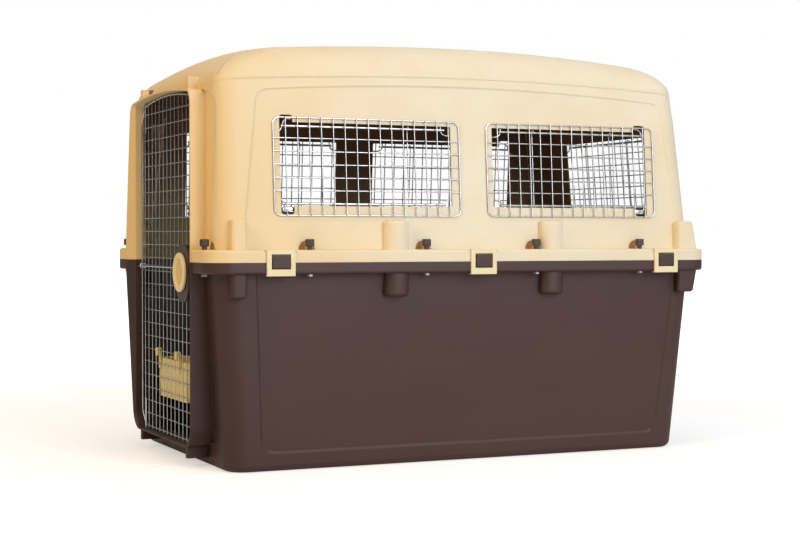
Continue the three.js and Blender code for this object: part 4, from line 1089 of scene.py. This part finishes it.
nut = lathe([
    (0.0045, 0), (0.0045, 0.0056), (0.005, 0.006), (0.0074, 0.0062), (0.0082, 0.007),
    (0.0083, 0.0172), (0.0076, 0.0186), (0.006, 0.0189), (0.0036, 0.0189), (0.0034, 0.0172),
], 48, fluted)
bolt = lathe([
    (0.0046, 0.0011), (0.0058, 0.0017), (0.0058, 0.005), (0.003, 0.0051),
    (0.003, bolt_tip - 0.0006), (0.0024, bolt_tip),
], 36, six_sided)
for name, part, places, slot, nodes, angle in (
    ("rim_nuts", nut, [(x, y, rim_top) for x, y, _ in bolt_places], "brown_fittings",
     nut_nodes, 40),
    ("rim_bolts", bolt, bolt_places, "zinc_steel", bolt_nodes, 30),
):
    mesh = repeated(as_mesh("pattern", part), places, slot)
    applied(smoothed(dressed(name, mesh, slot, "crate", *nodes), angle))

# Window grilles and their retainers, drawn in the wall's own frame: X along the wall,
# Y into the crate, Z up the wall
WINDOW_MIDDLE = (WINDOW_LOW + WINDOW_HIGH) / 2
FRAME_X = WINDOW_HALF_WIDTH - 0.0025
FRAME_Z = (WINDOW_HIGH - WINDOW_LOW) / 2 - 0.0025


def window_wires():
    frame_y, upright_y, over = -0.002, -0.0044, 0.001
    outline = [(x, frame_y, z) for x, z in (
        (-FRAME_X, -FRAME_Z), (FRAME_X, -FRAME_Z), (FRAME_X, FRAME_Z), (-FRAME_X, FRAME_Z),
    )]
    columns = (FRAME_X * (2 * i / WINDOW_BAYS - 1) for i in range(1, WINDOW_BAYS))
    return joined([
        wires([outline], WINDOW_EDGE_WIRE, bend=0.012, sides=12, closed=True),
        wires([[(x, upright_y, z) for z in (-FRAME_Z - over, FRAME_Z + over)] for x in columns],
              WINDOW_WIRE),
        wires([[(x, frame_y, height - WINDOW_MIDDLE) for x in (-FRAME_X - over, FRAME_X + over)]
               for height in WINDOW_ROWS], WINDOW_WIRE),
    ])


# The hooks of a retainer: steps along the wall from the opening's end, into the crate, and
# away from the other rod
OUTER_HOOK = ((0.026, 0.0055, 0.0135), (0.014, 0.0055, 0.0132), (0.0072, 0.005, 0.0085),
              (0.0055, 0.005, 0), (0.0005, 0.0055, -0.0085), (-0.006, 0.0055, -0.0105))
INNER_HOOK = ((-0.0195, 0.0055, 0.008), (-0.019, 0.0055, 0), (-0.0165, 0.0055, -0.0065),
              (-0.009, 0.0055, -0.0095), (0.007, 0.0055, -0.0098))


def retainer_wires():
    """Two rods with hooked ends, which two ties hold against the grille."""
    low, high = (height - WINDOW_MIDDLE for height in ROD_HEIGHTS)
    rod_y, end = 0.002, OPENING_HALF
    rods, hooks = [], []
    for z, turn in ((low, -1), (high, 1)):
        rods.append([(-end + 0.002, rod_y, z), (end - 0.0135, rod_y, z)])
        for x, hook in ((-end, OUTER_HOOK), (end, INNER_HOOK)):
            hooks.append([(x + along, y, z + turn * away) for along, y, away in hook])
    tie = [(-0.0008, low - 0.001), (0.0005, low - 0.0042), (0.004, low - 0.0038),
           (0.0056, low + 0.006), (0.0056, high - 0.006), (0.0045, high + 0.0045),
           (0.0005, high + 0.005), (-0.0008, high + 0.001)]
    return joined([
        wires(rods, ROD_WIRE, sides=14),
        wires(hooks, HOOK_WIRE, bend=0.006),
        wires([[(2 * end * (share - 0.5), y, z) for y, z in tie] for share in (0.236, 0.741)],
              TIE_WIRE, bend=0.002, sides=8),
        retainer_foot(low),
    ])


def retainer_foot(height):
    """The bent pad by which the lower rod rests in the opening's notch."""
    made = bmesh.new()
    bmesh.ops.create_uvsphere(made, u_segments=24, v_segments=12, radius=1)
    for corner in made.verts:
        x, y, z = corner.co
        corner.co = (
            -OPENING_HALF + 0.0135 + 0.0118 * math.copysign(abs(x) ** 0.55, x),
            0.0062 + 0.0016 * y, height - 0.0098 + 0.0052 * math.copysign(abs(z) ** 0.6, z),
        )
    for face in made.faces:
        face.smooth = True
    return as_mesh("retainer_foot", made)


front_at, back_at = (x / 1000 + X_SHIFT for x in WINDOW_XS)
_, rear_draft, side_draft = UPPER_DRAFT
side_wall = (WALL_Y / 1000, side_draft, 0.0025)
for name, turn, along, wall_half, draft, recess in (
    ("left_front", 0, front_at, *side_wall), ("left_back", 0, back_at, *side_wall),
    ("right_front", math.pi, -front_at, *side_wall),
    ("right_back", math.pi, -back_at, *side_wall),
    ("rear", math.pi / 2, 0, WALL_X / 1000, rear_draft, 0),
):
    out = wall_half - draft * (WINDOW_MIDDLE - SEAM / 1000) - recess
    place = (
        Matrix.Translation((X_SHIFT, 0, 0)) @ Matrix.Rotation(turn, 4, "Z")
        @ Matrix.Translation((along, -out, WINDOW_MIDDLE))
        @ Matrix.Rotation(-math.atan(draft), 4, "X")
    )
    for kind, node, made in (
        ("grille", f"window_grille_{name}", window_wires()),
        ("retainer", f"grille_retainer_{name}", retainer_wires()),
    ):
        if name in ("left_back", "right_front"):
            made.transform(Matrix.Scale(-1, 4, (1, 0, 0)))
            bmesh.ops.reverse_faces(made, faces=made.faces)
        made.transform(place)
        mesh = as_mesh("wire", made)
        dressed(f"{kind}_{name}_wire", mesh, "bright_wire", "crate", node)

# The door: a welded mesh in a bent frame, its pins and the staple of the cross rod


def door_top(y):
    return DOOR_TOP_MIDDLE - (DOOR_TOP_MIDDLE - DOOR_TOP_EDGE) * (y / DOOR_HALF) ** 2


def door_wires():
    cut, half, front = DOOR_CUT, DOOR_HALF, DOOR_X - 0.0012
    outline = [(half - cut, DOOR_SILL), (half, DOOR_SILL + cut), (half, DOOR_TOP_EDGE - cut)]
    outline += [(y, door_top(y)) for y in (i / 10 * (half - cut) for i in range(10, -11, -1))]
    outline += [(-half, DOOR_TOP_EDGE - cut), (-half, DOOR_SILL + cut), (cut - half, DOOR_SILL)]
    uprights = []
    for i in range(1, DOOR_BAYS):
        y = half * (2 * i / DOOR_BAYS - 1)
        uprights.append([(front, y, DOOR_SILL - 0.004), (front, y, door_top(y) + 0.0025)])
    rows = []
    for j in range(1, DOOR_HIGH_BAYS):
        z = DOOR_SILL + j * DOOR_PITCH
        reach = half - min(cut, max(0, z - (DOOR_TOP_EDGE - cut)))
        rows.append([(DOOR_X, -reach, z), (DOOR_X, reach, z)])
    pin_y, reach = PIN_Y / 1000, 0.052
    top = door_top(pin_y)
    pins = [
        [(DOOR_X, y, z) for z in heights] for y, heights in (
            (pin_y, (top - reach, 0.69)), (pin_y, (0.024, DOOR_SILL + reach)),
            (-pin_y, (top - reach, top)), (-pin_y, (DOOR_SILL, DOOR_SILL + reach)),
        )
    ]
    staple_y, reach = half * 12 / DOOR_BAYS, 0.00375
    rod_x, rod_z = ROD_X / 1000 + X_SHIFT, ROD_Z / 1000
    staple = [
        (x, staple_y, rod_z + rise) for x, rise in (
            (DOOR_X, -reach), (rod_x - reach * 0.6, -reach), (rod_x - reach, 0),
            (rod_x - reach * 0.6, reach), (DOOR_X, reach),
        )
    ]
    frame_wire = [(DOOR_X, y, z) for y, z in outline]
    return joined([
        wires([frame_wire], DOOR_EDGE_WIRE, bend=0.008, sides=12, closed=True),
        wires(uprights, DOOR_UPRIGHT_WIRE),
        wires(rows, DOOR_WIRE),
        wires(pins, DOOR_PIN, sides=12),
        wires([staple], STAPLE_WIRE, bend=0.002, sides=8),
    ])


door_mesh = as_mesh("door_wire", door_wires())
dressed("door_wire", door_mesh, "bright_wire", "door", "door_grille")

# Floor, light and camera


def rays(shade):
    """1 for the rays that the camera sees, and 1 for those that a mirror sees."""
    return [shade.node("ShaderNodeLightPath", output=number) for number in (0, 3)]


def stage_floor():
    shade = new_finish("pale_floor")
    seen, mirrored = rays(shade)
    tone = shade.colour(shade.noise(1.5) * 0.2, (0.84, 0.84, 0.84), (0.88, 0.88, 0.88))
    face = shade.node("ShaderNodeBsdfDiffuse", {}, {"Color": tone})
    far = shade.distance((0, 0, 0)).between(0.9, 3.0) * 0.6
    glow = shade.node("ShaderNodeEmission", {}, {"Strength": seen * (0.5 + far) + mirrored * 0.1})
    both = shade.node("ShaderNodeAddShader", {}, {0: face, 1: glow})
    shade.node("ShaderNodeOutputMaterial", {}, {"Surface": both})
    made = bmesh.new()
    bmesh.ops.create_grid(made, x_segments=1, y_segments=1, size=60)
    floor = in_scene("floor", as_mesh("floor", made))
    floor.location.z = -0.0002
    floor.data.materials.append(finishes["pale_floor"])


def stage_world():
    world = bpy.data.worlds.new("studio")
    world.use_nodes = True
    world.node_tree.nodes.clear()
    bpy.context.scene.world = world
    shade = Shade(world.node_tree)
    seen, mirrored = rays(shade)
    way = shade.node("ShaderNodeTexCoord")
    x, y, z = (way.axis(number) for number in range(3))
    before = (x * 0.4 - y * 0.92).between(0.5, 0.9)
    backdrop = 0.1 + 0.9 * shade.math("MAXIMUM", before, z.between(0.2, 0.6))
    strength = seen + (1 - seen) * (mirrored * backdrop + (1 - mirrored) * 0.4)
    warm = (1 - seen) * (1 - mirrored) * (0 - x).between(0, 0.8)
    sockets = {"Color": shade.colour(warm, (1, 1, 1), (1, 0.72, 0.4)), "Strength": strength}
    back = shade.node("ShaderNodeBackground", {}, sockets)
    shade.node("ShaderNodeOutputWorld", {}, {"Surface": back})


def soft_box(name, place, aim_height, size, power, colour=(1, 1, 1)):
    lamp = bpy.data.lights.new(name, "AREA")
    lamp.shape = "DISK"
    lamp.size = size
    lamp.energy = power
    lamp.color = colour
    made = in_scene(name, lamp)
    made.location = place
    way = Vector((0, 0, aim_height)) - Vector(place)
    made.rotation_euler = way.to_track_quat("-Z", "Y").to_euler()


def stage_camera():
    lens = bpy.data.cameras.new("camera")
    lens.lens = 73.8
    lens.sensor_width = 36
    made = in_scene("camera", lens)
    made.location = (-1.35335, -2.983, 0.4135)
    yaw, dip = math.radians(24.23), math.radians(1.07)
    way = Vector((math.sin(yaw) * math.cos(dip), math.cos(yaw) * math.cos(dip), -math.sin(dip)))
    made.rotation_euler = way.to_track_quat("-Z", "Y").to_euler()
    bpy.context.scene.camera = made


stage_floor()
stage_world()
soft_box("key", (0.9, -4.4, 2.0), 0.35, 2.6, 84, (0.96, 1, 1.1))
soft_box("top", (0.2, -0.8, 4.2), 0.4, 3.0, 22)
soft_box("left", (-3.7, -1.7, 2.7), 0.4, 1.8, 62, (1, 0.68, 0.3))
stage_camera()
bpy.context.scene.view_settings.view_transform = "Standard"
